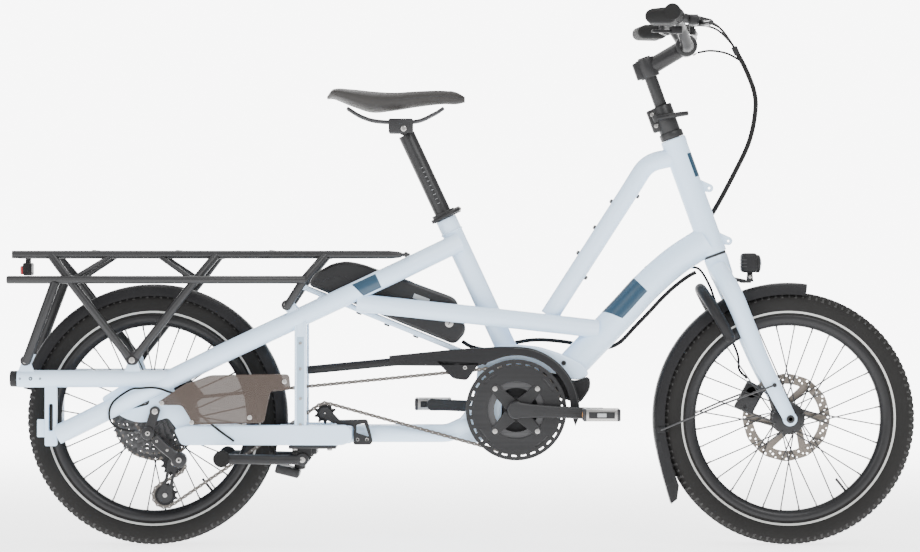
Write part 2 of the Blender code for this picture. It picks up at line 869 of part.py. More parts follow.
def chain_stations():
    """The circles that the chain touches, in order, with +1 where it runs anticlockwise round them."""
    return (
        (REAR_AXLE, pitch_radius(COG_TEETH), -1),
        (CRANK_CENTRE, pitch_radius(CHAINRING_TEETH), -1),
        (IDLER_CENTRE, pitch_radius(IDLER_TEETH), 1),
        (TENSION_CENTRE, pitch_radius(PULLEY_TEETH), -1),
        (GUIDE_CENTRE, pitch_radius(PULLEY_TEETH), 1),
    )


def heading(first, second):
    """The direction, in radians, of the straight chain between two circles."""
    (start, first_radius, first_turn), (end, second_radius, second_turn) = first, second
    offset = first_turn * first_radius - second_turn * second_radius
    distance = math.hypot(end.x - start.x, end.z - start.z)
    return math.atan2(end.z - start.z, end.x - start.x) + math.asin(offset / distance)


def chain_loop(offset):
    """The (x, z) points of a loop that lies a constant offset to the left of the chain's middle."""
    stations = chain_stations()
    points = []
    for index, station in enumerate(stations):
        centre, radius, turn = station
        arrive = heading(stations[index - 1], station) - turn * math.pi / 2
        leave = heading(station, stations[(index + 1) % len(stations)]) - turn * math.pi / 2
        swept = (turn * (leave - arrive)) % math.tau
        steps = max(3, math.ceil(swept / math.radians(18)))
        for step in range(steps + 1):
            angle = arrive + turn * swept * step / steps
            reach = radius - turn * offset
            points.append((centre.x + reach * math.cos(angle), centre.z + reach * math.sin(angle)))
    return points


def chain():
    """The whole chain as one ribbon of its true width and height."""
    made = plate("chain", chain_loop(CHAIN_HEIGHT / 2), CHAIN_Y, CHAIN_WIDTH, CHAIN_STEEL)
    hole = plate("chain_inside", chain_loop(-CHAIN_HEIGHT / 2), CHAIN_Y, 4 * CHAIN_WIDTH, CHAIN_STEEL)
    return cut(made, [hole])


def idler():
    """The pulley that lifts the lower run over the stay, and its bolted bracket."""
    y = CHAIN_Y - 0.0075
    outline = [
        (-0.262, 0.256), (-0.194, 0.2575), (-0.183, 0.213), (-0.187, 0.2055), (-0.2225, 0.2055),
        (-0.2225, 0.2440), (-0.256, 0.2455),
    ]
    arm = arc((IDLER_CENTRE.x, IDLER_CENTRE.z), 0.012, 60, 250, 8) + [
        (-0.262, 0.2485), (-0.245, 0.2530), (-0.250, 0.2560),
    ]
    bracket = fuse(
        "idler_bracket",
        [
            plate("idler_bracket", outline, y, 0.005, BLACK_METAL),
            plate("idler_arm", arm, y, 0.0058, BLACK_METAL),
        ],
    )
    windows = [
        plate(
            "idler_window",
            [(-0.200, 0.249), (-0.191, 0.222), (-0.216, 0.230), (-0.216, 0.246)],
            y,
            0.03,
            BLACK_METAL,
        ),
    ]
    bracket = cut(bracket, windows)
    reach = [
        rod(
            "idler_pin", (IDLER_CENTRE.x, y, IDLER_CENTRE.z),
            (IDLER_CENTRE.x, CHAIN_Y + 0.006, IDLER_CENTRE.z), 0.003, BLACK_METAL, 12,
        ),
        rod("idler_spacer_a", (-0.214, y, 0.216), (-0.214, -0.0490, 0.216), 0.005, BLACK_METAL, 10),
        rod("idler_spacer_b", (-0.195, y, 0.216), (-0.195, -0.0490, 0.216), 0.005, BLACK_METAL, 10),
    ]
    fuse("idler_bracket", [bracket] + reach)
    joint(
        "idler_axis",
        IDLER_CENTRE,
        [toothed_wheel("idler_pulley", IDLER_CENTRE, IDLER_TEETH, BLACK_PLASTIC)],
    )


def derailleur():
    """Body on the hanger, swinging link with its knuckle, sprung cage and two pulleys."""
    hanger = Vector((-0.623, -0.0895, 0.274))
    foot = DERAILLEUR_HANG
    middle = Vector(((hanger.x + foot.x) / 2, hanger.y, (hanger.z + foot.z) / 2))
    lean = math.atan2(foot.x - hanger.x, foot.z - hanger.z) + math.pi
    body = [
        rod(
            "derailleur_body",
            hanger + Vector((0, 0.0089, 0)),
            hanger - Vector((0, 0.003, 0)),
            0.008,
            BLACK_METAL,
            14,
        ),
        block("hanger_link", middle, (0.015, 0.0075, 0.052), BLACK_METAL, pitch=lean),
        rod(
            "b_knuckle",
            foot + Vector((0, 0.0060, 0)),
            foot - Vector((0, 0.016, 0)),
            0.0135,
            BLACK_METAL,
            16,
        ),
    ]
    fuse("derailleur_body", body)
    knuckle = KNUCKLE_CENTRE
    along = (Vector((knuckle.x, -0.092, knuckle.z)) - Vector((foot.x, -0.092, foot.z))).normalized()
    start = Vector((foot.x, -0.096, foot.z)) + 0.0148 * along
    end = Vector((knuckle.x, -0.092, knuckle.z))
    pitch = math.atan2(along.x, along.z) - math.pi / 2
    link = [
        block(
            "derailleur_link",
            (start + end) / 2,
            ((end - start).length, 0.018, 0.022),
            BLACK_METAL,
            pitch=pitch,
            edge=0.003,
        ),
        rod(
            "p_knuckle", (knuckle.x, -0.0645, knuckle.z), (knuckle.x, -0.104, knuckle.z), 0.0156,
            BLACK_METAL, 20,
        ),
    ]
    joint("shift_axis", foot, [fuse("derailleur_link", link)])
    outer_y = CHAIN_Y - 0.0052
    inner_y = CHAIN_Y + 0.0052
    pivot = rod(
        "cage_pivot", (knuckle.x, -0.0642, knuckle.z), (knuckle.x, outer_y + 0.001, knuckle.z), 0.011,
        BLACK_METAL, 16,
    )
    cage = [pivot]
    for name, y in (("outer", outer_y), ("inner", inner_y)):
        spine = (TENSION_CENTRE + GUIDE_CENTRE) / 2
        lean = math.atan2(GUIDE_CENTRE.x - TENSION_CENTRE.x, GUIDE_CENTRE.z - TENSION_CENTRE.z)
        cage.append(
            block("cage_" + name, (spine.x, y, spine.z), (0.017, 0.002, 0.068), BLACK_METAL, pitch=lean)
        )
        for tag, centre, radius in (("low", TENSION_CENTRE, 0.016), ("high", GUIDE_CENTRE, 0.012)):
            cage.append(
                rod(
                    "cage_%s_%s" % (name, tag),
                    (centre.x, y - 0.001, centre.z),
                    (centre.x, y + 0.001, centre.z),
                    radius,
                    BLACK_METAL,
                    12,
                )
            )
    cage.append(
        block(
            "cage_ear",
            (-0.581, outer_y, 0.172),
            (0.026, 0.002, 0.020),
            BLACK_METAL,
            pitch=math.radians(-30),
        )
    )
    for tag, centre in (("low", TENSION_CENTRE), ("high", GUIDE_CENTRE)):
        cage.append(
            rod(
                "cage_pin_" + tag,
                (centre.x, outer_y, centre.z),
                (centre.x, inner_y, centre.z),
                0.003,
                BLACK_METAL,
                8,
            )
        )
    joint("cage_axis", knuckle, [fuse("derailleur_cage", cage)])
    joint(
        "tension_axis",
        TENSION_CENTRE,
        [toothed_wheel("tension_pulley", TENSION_CENTRE, PULLEY_TEETH, BLACK_PLASTIC)],
    )
    joint(
        "guide_axis",
        GUIDE_CENTRE,
        [toothed_wheel("guide_pulley", GUIDE_CENTRE, PULLEY_TEETH, BLACK_PLASTIC)],
    )


def chain_guard():
    """The cover over the upper run: a slim tube, a deeper channel, and a tail that curves round the ring."""
    x, z = CRANK_CENTRE.x, CRANK_CENTRE.z
    tube = bar(
        "guard_tube",
        [(-0.3155, CHAIN_Y, 0.357), (-0.13, CHAIN_Y, 0.3745)],
        0.0085,
        BLACK_PLASTIC,
        10,
    )
    band = [(-0.150, 0.386), (-0.02, 0.399), (0.075, 0.4045)]
    band += arc((x, z), 0.1285, 95, 2, 10)
    band += [(0.2362, 0.262), (0.228, 0.243), (0.222, 0.262)]
    band += arc((x, z), 0.1105, -6, 112, 10)[1:]
    band += [
        (0.030, 0.3655), (-0.02, 0.3650), (-0.150, 0.366),
    ]
    cover = plate("chain_guard", band, CHAIN_Y, 0.020, BLACK_PLASTIC)
    skirt = plate(
        "guard_skirt",
        [(-0.055, 0.376), (-0.020, 0.3395), (0.008, 0.336), (0.034, 0.372)],
        CHAIN_Y - 0.0085,
        0.003,
        BLACK_PLASTIC,
    )
    hollow = plate(
        "guard_hollow",
        [
            (-0.140, 0.3600), (-0.140, 0.3780), (-0.02, 0.3905), (0.04, 0.3950),
        ] + arc((x, z), 0.1190, 110, -12, 10)[1:] + arc((x, z), 0.1000, -12, 110, 8),
        CHAIN_Y + 0.002,
        0.0170,
        BLACK_PLASTIC,
    )
    return fuse("chain_guard", [cut(cover, [hollow]), tube, skirt])


def chain_plate():
    """The smoked clear plate that keeps trousers and straps off the cassette side of the chain."""
    outline = [
        (-0.617, 0.293), (-0.565, 0.328), (-0.511, 0.348), (-0.351, 0.350), (-0.348, 0.318),
        (-0.389, 0.316), (-0.402, 0.251), (-0.546, 0.2475), (-0.553, 0.262), (-0.568, 0.287),
        (-0.608, 0.287),
    ]
    return plate("chain_plate", outline, -0.0985, 0.003, SMOKED)


# Rear rack, mudguards and lights


def half_rack(side):
    """The rails and braces of one side. The lower rail is set further out, for bags."""
    tag = "right" if side < 0 else "left"
    top_y, low_y, foot_y = 0.070, 0.108, 0.0975
    spans = (
        ("top_rail", [(-0.914, top_y, 0.5915), (-0.150, top_y, 0.5915)], 0.0080),
        ("rail_nose", [(-0.152, top_y, 0.5915), (-0.125, top_y, 0.5915)], 0.0060),
        ("low_rail", [(-0.9214, low_y, 0.5405), (-0.318, low_y, 0.5405)], 0.0080),
        ("tail_strut", [(-0.8835, foot_y + 0.0022, 0.372), (-0.823, low_y, 0.536)], 0.0095),
        (
            "rear_v",
            [(-0.676, foot_y, 0.385), (-0.795, low_y - 0.004, 0.540), (-0.835, top_y, 0.590)],
            0.0085,
        ),
        (
            "front_v",
            [(-0.662, foot_y, 0.385), (-0.540, low_y - 0.004, 0.540), (-0.500, top_y, 0.590)],
            0.0085,
        ),
        (
            "front_strut",
            [(-0.3575, 0.0925, 0.484), (-0.321, low_y - 0.004, 0.5405), (-0.279, top_y, 0.590)],
            0.0085,
        ),
        ("brace_a", [(-0.786, low_y, 0.543), (-0.713, top_y, 0.589)], 0.0050),
        ("brace_b", [(-0.549, low_y, 0.543), (-0.616, top_y, 0.589)], 0.0050),
    )
    pieces = [
        bar("%s_%s" % (name, tag), [at_side(p, side) for p in path], radius, BLACK_METAL, 6)
        for name, path, radius in spans
    ]
    gusset = [(-0.694, 0.395), (-0.644, 0.395), (-0.661, 0.368), (-0.677, 0.368)]
    pieces.append(plate("gusset_" + tag, gusset, side * 0.0945, 0.0095, BLACK_METAL))
    for name, x, z in (("tail_foot", -0.884, 0.377), ("front_foot", -0.357, 0.489)):
        y = 0.0945 if name == "tail_foot" else 0.0875
        pieces.append(
            rod(
                "%s_%s" % (name, tag),
                (x, side * (y - 0.0045), z),
                (x, side * (y + 0.008), z),
                0.0105,
                BLACK_METAL,
                10,
            )
        )
    return pieces


def rear_rack():
    pieces = half_rack(-1) + half_rack(1)
    for index, x in enumerate((-0.895, -0.835, -0.667, -0.500, -0.279)):
        pieces.append(
            rod("deck_bar_%d" % index, (x, -0.070, 0.5915), (x, 0.070, 0.5915), 0.0065, BLACK_METAL, 8)
        )
    for index, x in enumerate((-0.905, -0.40)):
        pieces.append(
            rod("low_bar_%d" % index, (x, -0.108, 0.5405), (x, 0.108, 0.5405), 0.0065, BLACK_METAL, 8)
        )
    for index, x in enumerate((-0.75, -0.58, -0.39)):
        pieces.append(block("deck_slat_%d" % index, (x, 0.0, 0.5965), (0.022, 0.144, 0.006), BLACK_METAL))
    return fuse("rear_rack", pieces)


def tail_light():
    """A block lamp with a red lens, under the deck at the tail."""
    body = block("tail_light", (-0.8880, 0.0, 0.562), (0.018, 0.060, 0.026), BLACK_PLASTIC, edge=0.003)
    lens = block("tail_lens", (-0.8990, 0.0, 0.560), (0.008, 0.052, 0.018), RED_LENS, edge=0.002)
    return fuse("tail_light", [body, lens])


def mudguard(name, centre, radius, start, end, steps):
    """A thin arched guard with turned-down sides, from start to end in degrees from +X towards +Z."""
    section = [(radius - 0.024, 0.0315), (radius - 0.008, 0.0310), (radius, 0.0170)]
    section += [(r, -y) for r, y in reversed(section)]
    shape = bmesh.new()
    rings = []
    for step in range(steps + 1):
        angle = math.radians(start + (end - start) * step / steps)
        direction = Vector((math.cos(angle), 0.0, math.sin(angle)))
        rings.append([shape.verts.new(centre + r * direction + Vector((0, y, 0))) for r, y in section])
    for first, second in zip(rings, rings[1:]):
        for index in range(len(section) - 1):
            shape.faces.new((first[index], first[index + 1], second[index + 1], second[index]))
    sheet = from_bmesh(name, shape, BLACK_PLASTIC)
    wall = sheet.modifiers.new("wall", "SOLIDIFY")
    wall.thickness = 0.0022
    wall.offset = 0.0
    return baked(sheet)


def rear_fender():
    return mudguard("rear_fender", REAR_AXLE, 0.2735, -2.5, 167.0, 19)


def front_fender():
    """The front guard with its long rear flap and its two wire stays."""
    guard = mudguard("front_fender", FRONT_AXLE, 0.2765, 82.0, 216.0, 15)
    wires = []
    for side in (-1, 1):
        tag = "right" if side < 0 else "left"
        wires.append(
            bar(
                "fender_wire_" + tag,
                [
                    (0.6310, side * 0.0800, 0.3270), (0.5250, side * 0.0620, 0.2870),
                    (0.4020, side * 0.0330, 0.2335),
                ],
                0.0020,
                BLACK_METAL,
                6,
            )
        )
        wires.append(
            bar(
                "fender_eye_" + tag,
                [(0.6310, side * 0.0775, 0.3270), (0.6310, side * 0.0820, 0.3270)],
                0.0050,
                BLACK_METAL,
                12,
            )
        )
    bridge = block("fender_bridge", (0.5365, 0.0, 0.5170), (0.014, 0.030, 0.026), BLACK_METAL)
    return fuse("front_fender", [guard, bridge] + wires)


def headlight():
    """A round-cornered lamp that tilts on its bracket."""
    body = block("headlight", (0.584, 0.0, 0.575), (0.034, 0.046, 0.040), BLACK_PLASTIC, edge=0.005)
    lens = rod("lamp_lens", (0.598, 0.0, 0.573), (0.610, 0.0, 0.573), 0.0185, BLACK_PLASTIC, 20, 0.015)
    foot = block("lamp_foot", (0.586, 0.0, 0.5510), (0.012, 0.0105, 0.016), BLACK_PLASTIC)
    return joint("lamp_axis", LAMP_PIVOT, [fuse("headlight", [body, lens, foot])])


def headlight_bracket():
    """The forked arm from the crown that the lamp tilts in."""
    arm = block(
        "headlight_bracket",
        (0.5645, 0.0, 0.5395),
        (0.026, 0.016, 0.008),
        BLACK_METAL,
        pitch=math.radians(12),
    )
    cheeks = [
        block("lamp_cheek_%d" % k, (0.5850, k * 0.0075, 0.5430), (0.014, 0.0035, 0.014), BLACK_METAL)
        for k in (-1, 1)
    ]
    base = block("lamp_base", (0.5775, 0.0, 0.5365), (0.022, 0.0182, 0.006), BLACK_METAL)
    return fuse("headlight_bracket", [arm, base] + cheeks)


# Steering


def fork():
    """Steerer, crown and two blades with dropout tips, welded together."""
    crown_at = HEAD_BOTTOM - 0.003 * HEAD_AXIS
    pieces = [
        rod(
            "fork",
            crown_at - 0.002 * HEAD_AXIS,
            HEAD_TOP + 0.040 * HEAD_AXIS,
            STEERER_RADIUS,
            FRAME_PAINT,
            20,
        ),
        rod(
            "fork_crown",
            crown_at - 0.046 * HEAD_AXIS,
            crown_at + 0.0025 * HEAD_AXIS,
            0.0225,
            FRAME_PAINT,
            20,
            0.0245,
        ),
    ]
    for side in (-1, 1):
        tag = "right" if side < 0 else "left"
        path = [
            (0.5195, 0.020, 0.5640), (0.5400, 0.048, 0.5270), (0.5543, 0.0560, 0.4964),
            (0.5804, 0.0570, 0.433), (0.6074, 0.0570, 0.370), (0.6380, 0.0600, 0.308),
            (0.6605, 0.0630, 0.264),
        ]
        taper = [0.95, 1.0, 1.0, 0.95, 0.88, 0.78, 0.70]
        pieces.append(bar("blade_" + tag, [at_side(p, side) for p in path], 0.0200, FRAME_PAINT, 10, taper))
        pieces.append(
            rod(
                "tip_" + tag, (FRONT_AXLE.x, side * 0.0492, FRONT_AXLE.z),
                (FRONT_AXLE.x, side * 0.0665, FRONT_AXLE.z), 0.0145, FRAME_PAINT, 16,
            )
        )
    made = fuse("fork", pieces)
    bore = rod(
        "axle_bore",
        FRONT_AXLE - Vector((0, 0.1, 0)),
        FRONT_AXLE + Vector((0, 0.1, 0)),
        0.0063,
        FRAME_PAINT,
        16,
    )
    return cut(made, [bore])


def through_axle(name, axle, right_end, left_end, heads):
    """A threaded axle, with a low head at each side that has one."""
    shaft = rod(name, axle - Vector((0, right_end, 0)), axle + Vector((0, left_end, 0)), 0.0059, STEEL, 16)
    pieces = [shaft]
    for side in heads:
        reach = left_end if side > 0 else right_end
        start = axle + Vector((0, side * (reach - 0.001), 0))
        end = axle + Vector((0, side * (reach + 0.003), 0))
        pieces.append(rod("%s_head_%d" % (name, side), start, end, 0.0085, STEEL, 12))
    return fuse(name, pieces)


def caliper(name, centre, lean, toward):
    """A brake caliper with the rotor's slot cut into the side that faces the axle."""
    body = block(name, centre, (0.040, 0.026, 0.062), BLACK_METAL, pitch=lean, edge=0.004)
    along = Vector((math.cos(lean), 0.0, -math.sin(lean)))
    middle = centre + toward * 0.020 * along
    slot = block(name + "_slot", middle, (0.064, 0.0042, 0.090), BLACK_METAL, pitch=lean)
    return cut(body, [slot])


def lock_frame():
    """The middle of the ring lock and its upward line, in the plane across the wheel behind the fork."""
    top = Vector((0.478, 0.0, 0.534))
    foot = Vector((0.556, 0.0, 0.399))
    along = (top - foot).normalized()
    return (top + foot) / 2 - 0.006 * along, along


def ring_arc(start, end, steps):
    """Points of an arc in the lock's plane, with angles from its left side, over its top."""
    middle, along = lock_frame()
    points = []
    for step in range(steps + 1):
        angle = math.radians(start + (end - start) * step / steps)
        points.append(middle + LOCK_RADIUS * (math.cos(angle) * Vector((0, 1, 0)) + math.sin(angle) * along))
    return points


def ring_lock():
    """The horseshoe body, open towards the hub, that the shackle slides in."""
    horseshoe = bar("ring_lock", ring_arc(-42, 222, 14), 0.0112, BLACK_PLASTIC, 8)
    sleeve = bar("lock_sleeve", ring_arc(-54, 234, 15), 0.0072, BLACK_PLASTIC, 8)
    return cut(horseshoe, [sleeve])


def lock_shackle():
    """The steel bow that is parked inside the body and turns on through the spokes."""
    middle = lock_frame()[0]
    bow = bar("lock_shackle", ring_arc(-40, 188, 14), 0.0048, STEEL, 8)
    return joint("lock_axis", middle, [bow])


# Seat


def saddle():
    """The padded top as one closed form, wide at the back and slim at the nose."""
    stations = (
        (-0.277, 0.030, 0.915, 0.006),
        (-0.262, 0.062, 0.930, 0.022),
        (-0.225, 0.078, 0.929, 0.036),
        (-0.185, 0.074, 0.925, 0.044),
        (-0.140, 0.054, 0.923, 0.038),
        (-0.095, 0.036, 0.926, 0.034),
        (-0.045, 0.026, 0.928, 0.030),
        (-0.015, 0.021, 0.924, 0.026),
        (0.004, 0.010, 0.914, 0.012),
    )
    shape = bmesh.new()
    rings = []
    for x, half, top, depth in stations:
        section = [
            (half, top - 0.55 * depth), (0.82 * half, top - 0.10 * depth), (0.40 * half, top),
            (-0.40 * half, top), (-0.82 * half, top - 0.10 * depth), (-half, top - 0.55 * depth),
            (-0.75 * half, top - depth), (0.75 * half, top - depth),
        ]
        rings.append([shape.verts.new((x, y, z)) for y, z in section])
    for first, second in zip(rings, rings[1:]):
        for index in range(len(first)):
            after = (index + 1) % len(first)
            shape.faces.new((first[index], first[after], second[after], second[index]))
    shape.faces.new(rings[0])
    shape.faces.new(rings[-1])
    return from_bmesh("saddle", shape, SADDLE_SKIN)


def saddle_rails():
    """One bent wire, from the back of the shell under the clamp and round the nose."""
    half = [
        (-0.236, 0.036, 0.890), (-0.205, 0.030, 0.872), (-0.168, 0.0225, 0.863),
        (-0.098, 0.0225, 0.863), (-0.060, 0.018, 0.878), (-0.040, 0.008, 0.8905),
    ]
    path = [at_side(p, 1) for p in half] + [at_side(p, -1) for p in reversed(half)]
    return bar("saddle_rails", path, 0.0035, BLACK_METAL, 6)


def seatpost():
    """The post with its head, and the two-piece cradle that grips the rails."""
    foot = SEAT_FOOT + 0.060 * SEAT_AXIS
    head = SADDLE_PIVOT - 0.012 * SEAT_AXIS
    tube = rod("seatpost", foot, head, SEATPOST_RADIUS, BLACK_METAL, 20)
    yoke = rod(
        "post_head",
        SADDLE_PIVOT + Vector((0, -0.016, 0)),
        SADDLE_PIVOT + Vector((0, 0.016, 0)),
        0.0125,
        BLACK_METAL,
        18,
    )
    neck = block(
        "post_neck",
        SADDLE_PIVOT - 0.010 * SEAT_AXIS,
        (0.026, 0.030, 0.020),
        BLACK_METAL,
        pitch=math.radians(-25),
    )
    return fuse("seatpost", [tube, neck, yoke])


def saddle_cradle():
    """The clamp over the post's head with the rails that it grips, which tilts with the saddle."""
    x, z = SADDLE_PIVOT.x, SADDLE_PIVOT.z
    y_in = 0.0190
    cheeks = [
        block(
            "saddle_clamp_%d" % k,
            (x - 0.006, k * (y_in + 0.0075), z + 0.006),
            (0.050, 0.0135, 0.030),
            BLACK_METAL,
        )
        for k in (-1, 1)
    ]
    bridge = block("clamp_bridge", (x - 0.006, 0.0, z + 0.0172), (0.030, 0.046, 0.0050), BLACK_METAL)
    return fuse("saddle_cradle", cheeks + [bridge, saddle_rails()])


def seat_collar():
    """The split collar round the top of the seat tube."""
    low = SEAT_FOOT + 0.2575 * SEAT_AXIS
    high = SEAT_FOOT + 0.2720 * SEAT_AXIS
    ring = rod("seat_collar", low, high, 0.0245, BLACK_METAL, 24)
    ear = block(
        "collar_ear",
        (low + high) / 2 + Vector((0.026, 0.0, 0.011)),
        (0.020, 0.020, 0.012),
        BLACK_METAL,
        pitch=math.radians(-25),
    )
    body = fuse("seat_collar", [ring, ear])
    bore = rod(
        "collar_bore",
        low - 0.01 * SEAT_AXIS,
        high + 0.01 * SEAT_AXIS,
        SEATPOST_RADIUS + GAP,
        BLACK_METAL,
        20,
    )
    return cut(body, [bore])


def seat_lever():
    """The quick-release lever of the seat collar, closed along the collar's right side."""
    pivot = SEAT_FOOT + 0.2648 * SEAT_AXIS + Vector((0.0300, 0.0, 0.0130))
    nut = rod(
        "seat_nut",
        pivot + Vector((0, -0.0125, 0)),
        pivot + Vector((0, -0.0200, 0)),
        0.0050,
        BLACK_METAL,
        12,
    )
    arm = bar(
        "seat_paddle",
        [
            pivot + Vector((0, -0.0160, 0)),
            pivot + Vector((-0.018, -0.0310, -0.009)),
            pivot + Vector((-0.055, -0.0320, -0.028)),
        ],
        0.0045,
        BLACK_METAL,
        8,
    )
    return joint("seat_lever_axis", pivot + Vector((0, -0.018, 0)), [fuse("seat_lever", [nut, arm])])


def seat():
    joint("seatpost_axis", SEAT_FOOT, [seatpost()])
    joint("saddle_axis", SADDLE_PIVOT, [saddle_cradle(), saddle()])
    seat_collar()
    seat_lever()


# Cockpit


def stem():
    """Turning clamp, post and raked stem, with a split clamp for the bar."""
    def along(distance):
        return HEAD_TOP + distance * HEAD_AXIS

    pieces = [
        rod("stem", along(0.0006), along(0.0150), 0.0245, BLACK_METAL, 16),
        rod("turn_clamp", along(0.0140), along(0.0720), 0.0215, BLACK_METAL, 14),
        rod("post", along(0.0650), along(0.1720), 0.0130, BLACK_METAL, 12),
        rod("stem_clamp", along(0.1330), along(0.1740), 0.0200, BLACK_METAL, 14),
        bar("stem_arm", [STEM_FOOT, BAR_CLAMP], 0.0170, BLACK_METAL, 10),
        rod(
            "bar_clamp",
            BAR_CLAMP + Vector((0, -0.023, 0)),
            BAR_CLAMP + Vector((0, 0.023, 0)),
            0.0225,
            BLACK_METAL,
            16,
        ),
        block(
            "turn_ears",
            along(0.043) + Vector((-0.0230, 0.0, -0.004)),
            (0.020, 0.026, 0.048),
            BLACK_METAL,
            pitch=math.radians(-19.8),
        ),
        block(
            "stem_ears",
            along(0.153) + Vector((-0.0185, 0.0, -0.006)),
            (0.016, 0.026, 0.036),
            BLACK_METAL,
            pitch=math.radians(-19.8),
        ),
    ]
    made = fuse("stem", pieces)
    bores = [
        rod("steerer_bore", along(-0.02), along(0.0404), STEERER_RADIUS + 0.0004, BLACK_METAL, 20),
        rod(
            "bar_bore",
            BAR_CLAMP - Vector((0, 0.1, 0)),
            BAR_CLAMP + Vector((0, 0.1, 0)),
            0.0163,
            BLACK_METAL,
            20,
        ),
    ]
    return cut(made, bores)


def turn_lever():
    """The quick-release lever of the turning clamp, closed across its right side."""
    pivot = Vector((0.3930, -0.0250, 0.8690))
    nut = rod("turn_nut", pivot - 0.008 * HEAD_AXIS, pivot + 0.008 * HEAD_AXIS, 0.0060, BLACK_METAL, 12)
    path = [pivot, (0.4150, -0.0285, 0.8730), (0.4380, -0.0265, 0.8770), (0.4580, -0.0180, 0.8800)]
    arm = bar("turn_paddle", path, 0.0060, BLACK_METAL, 8)
    return joint("turn_lever_axis", pivot, [fuse("turn_lever", [nut, arm])])


BAR_HALF = (
    (0.4556, 0.000, 1.0179),
    (0.4556, 0.045, 1.0179),
    (0.4400, 0.105, 1.0500),
    (0.4310, 0.150, 1.0660),
    (0.4190, 0.270, 1.0690),
    (0.4115, 0.333, 1.0680),
)


def bar_path(side):
    return bent([at_side(point, side) for point in BAR_HALF], 0.05, 2)


def handlebar():
    """A swept riser bar, thicker in the clamp than at the grips."""
    left = bar_path(1)
    right = bar_path(-1)
    path = right[::-1] + left[1:]
    taper = [1.0 if abs(point.y) < 0.04 else 0.70 for point in path]
    return bar("handlebar", path, 0.0159, BLACK_METAL, 8, taper)


def grip(name, side):
    """A winged grip: a sleeve on the bar with a palm rest behind it."""
    inner = at_side((0.4262, 0.198, 1.0672), side)
    outer = at_side((0.4113, 0.335, 1.0680), side)
    sleeve = rod(name, inner, outer, 0.0165, BLACK_RUBBER, 16)
    wing = block(
        name + "_wing",
        at_side((0.3935, 0.2750, 1.0610), side),
        (0.060, 0.116, 0.026),
        BLACK_RUBBER,
        yaw=side * math.radians(6),
        edge=0.010,
    )
    body = fuse(name, [sleeve, wing])
    core = bar(
        name + "_core",
        [
            at_side(p, side)
            for p in (
                (0.4385, 0.110, 1.0660), (0.4310, 0.150, 1.0660), (0.4190, 0.270, 1.0690),
                (0.4113, 0.345, 1.0680),
            )
        ],
        0.0124,
        BLACK_RUBBER,
        12,
    )
    return cut(body, [core])


def brake_body(name, side):
    """The lever's clamp, reservoir and pivot fork."""
    ring_at = [at_side((0.4308, 0.176, 1.0666), side), at_side((0.4285, 0.192, 1.0671), side)]
    ring = rod(name, ring_at[0], ring_at[1], 0.0165, BLACK_METAL, 16)
    arm = block(name + "_arm", at_side((0.4500, 0.180, 1.0630), side), (0.032, 0.014, 0.016), BLACK_METAL)
    tank = block(
        name + "_tank",
        at_side((0.4620, 0.168, 1.0600), side),
        (0.020, 0.052, 0.020),
        BLACK_METAL,
        edge=0.003,
    )
    body = fuse(name, [ring, arm, tank])
    core = bar(
        name + "_core",
        [at_side(p, side) for p in ((0.4310, 0.150, 1.0660), (0.4190, 0.270, 1.0690))],
        0.0124,
        BLACK_METAL,
        12,
    )
    return cut(body, [core])


def brake_lever(name, side):
    """The blade, from its pivot in front of the reservoir to a turned-out tip."""
    path = [
        (0.4790, 0.160, 1.0560), (0.4860, 0.190, 1.0520), (0.4820, 0.235, 1.0500),
        (0.4900, 0.290, 1.0490),
    ]
    blade = bar(name, [at_side(p, side) for p in path], 0.0055, BLACK_METAL, 8, [1.2, 1.0, 0.9, 1.0])
    pivot = at_side((0.4790, 0.160, 1.0560), side)
    return joint(name + "_axis", pivot, [baked(blade)])


def display():
    """The small control screen on its arm ahead of the bar clamp."""
    screen = block(
        "display",
        (0.4835, 0.0, 1.0700),
        (0.048, 0.078, 0.015),
        BLACK_PLASTIC,
        pitch=math.radians(14),
        edge=0.003,
    )
    hook = block("display_arm", (0.4680, 0.0, 1.0530), (0.010, 0.020, 0.024), BLACK_PLASTIC)
    return fuse("display", [screen, hook])


def shift_lever():
    """The thumb lever under the right side of the bar, with its housing."""
    pivot = Vector((0.4270, -0.152, 1.0425))
    housing = rod(
        "shift_lever",
        pivot + Vector((0, 0, -0.008)),
        pivot + Vector((0, 0, 0.007)),
        0.0140,
        BLACK_PLASTIC,
        16,
    )
    thumb = block(
        "shift_thumb",
        (0.4010, -0.163, 1.0385),
        (0.048, 0.014, 0.006),
        BLACK_PLASTIC,
        yaw=math.radians(24),
        edge=0.002,
    )
    return joint("shift_lever_axis", pivot, [fuse("shift_lever", [housing, thumb])])


# Cables, from where each one leaves its fitting to where it goes in


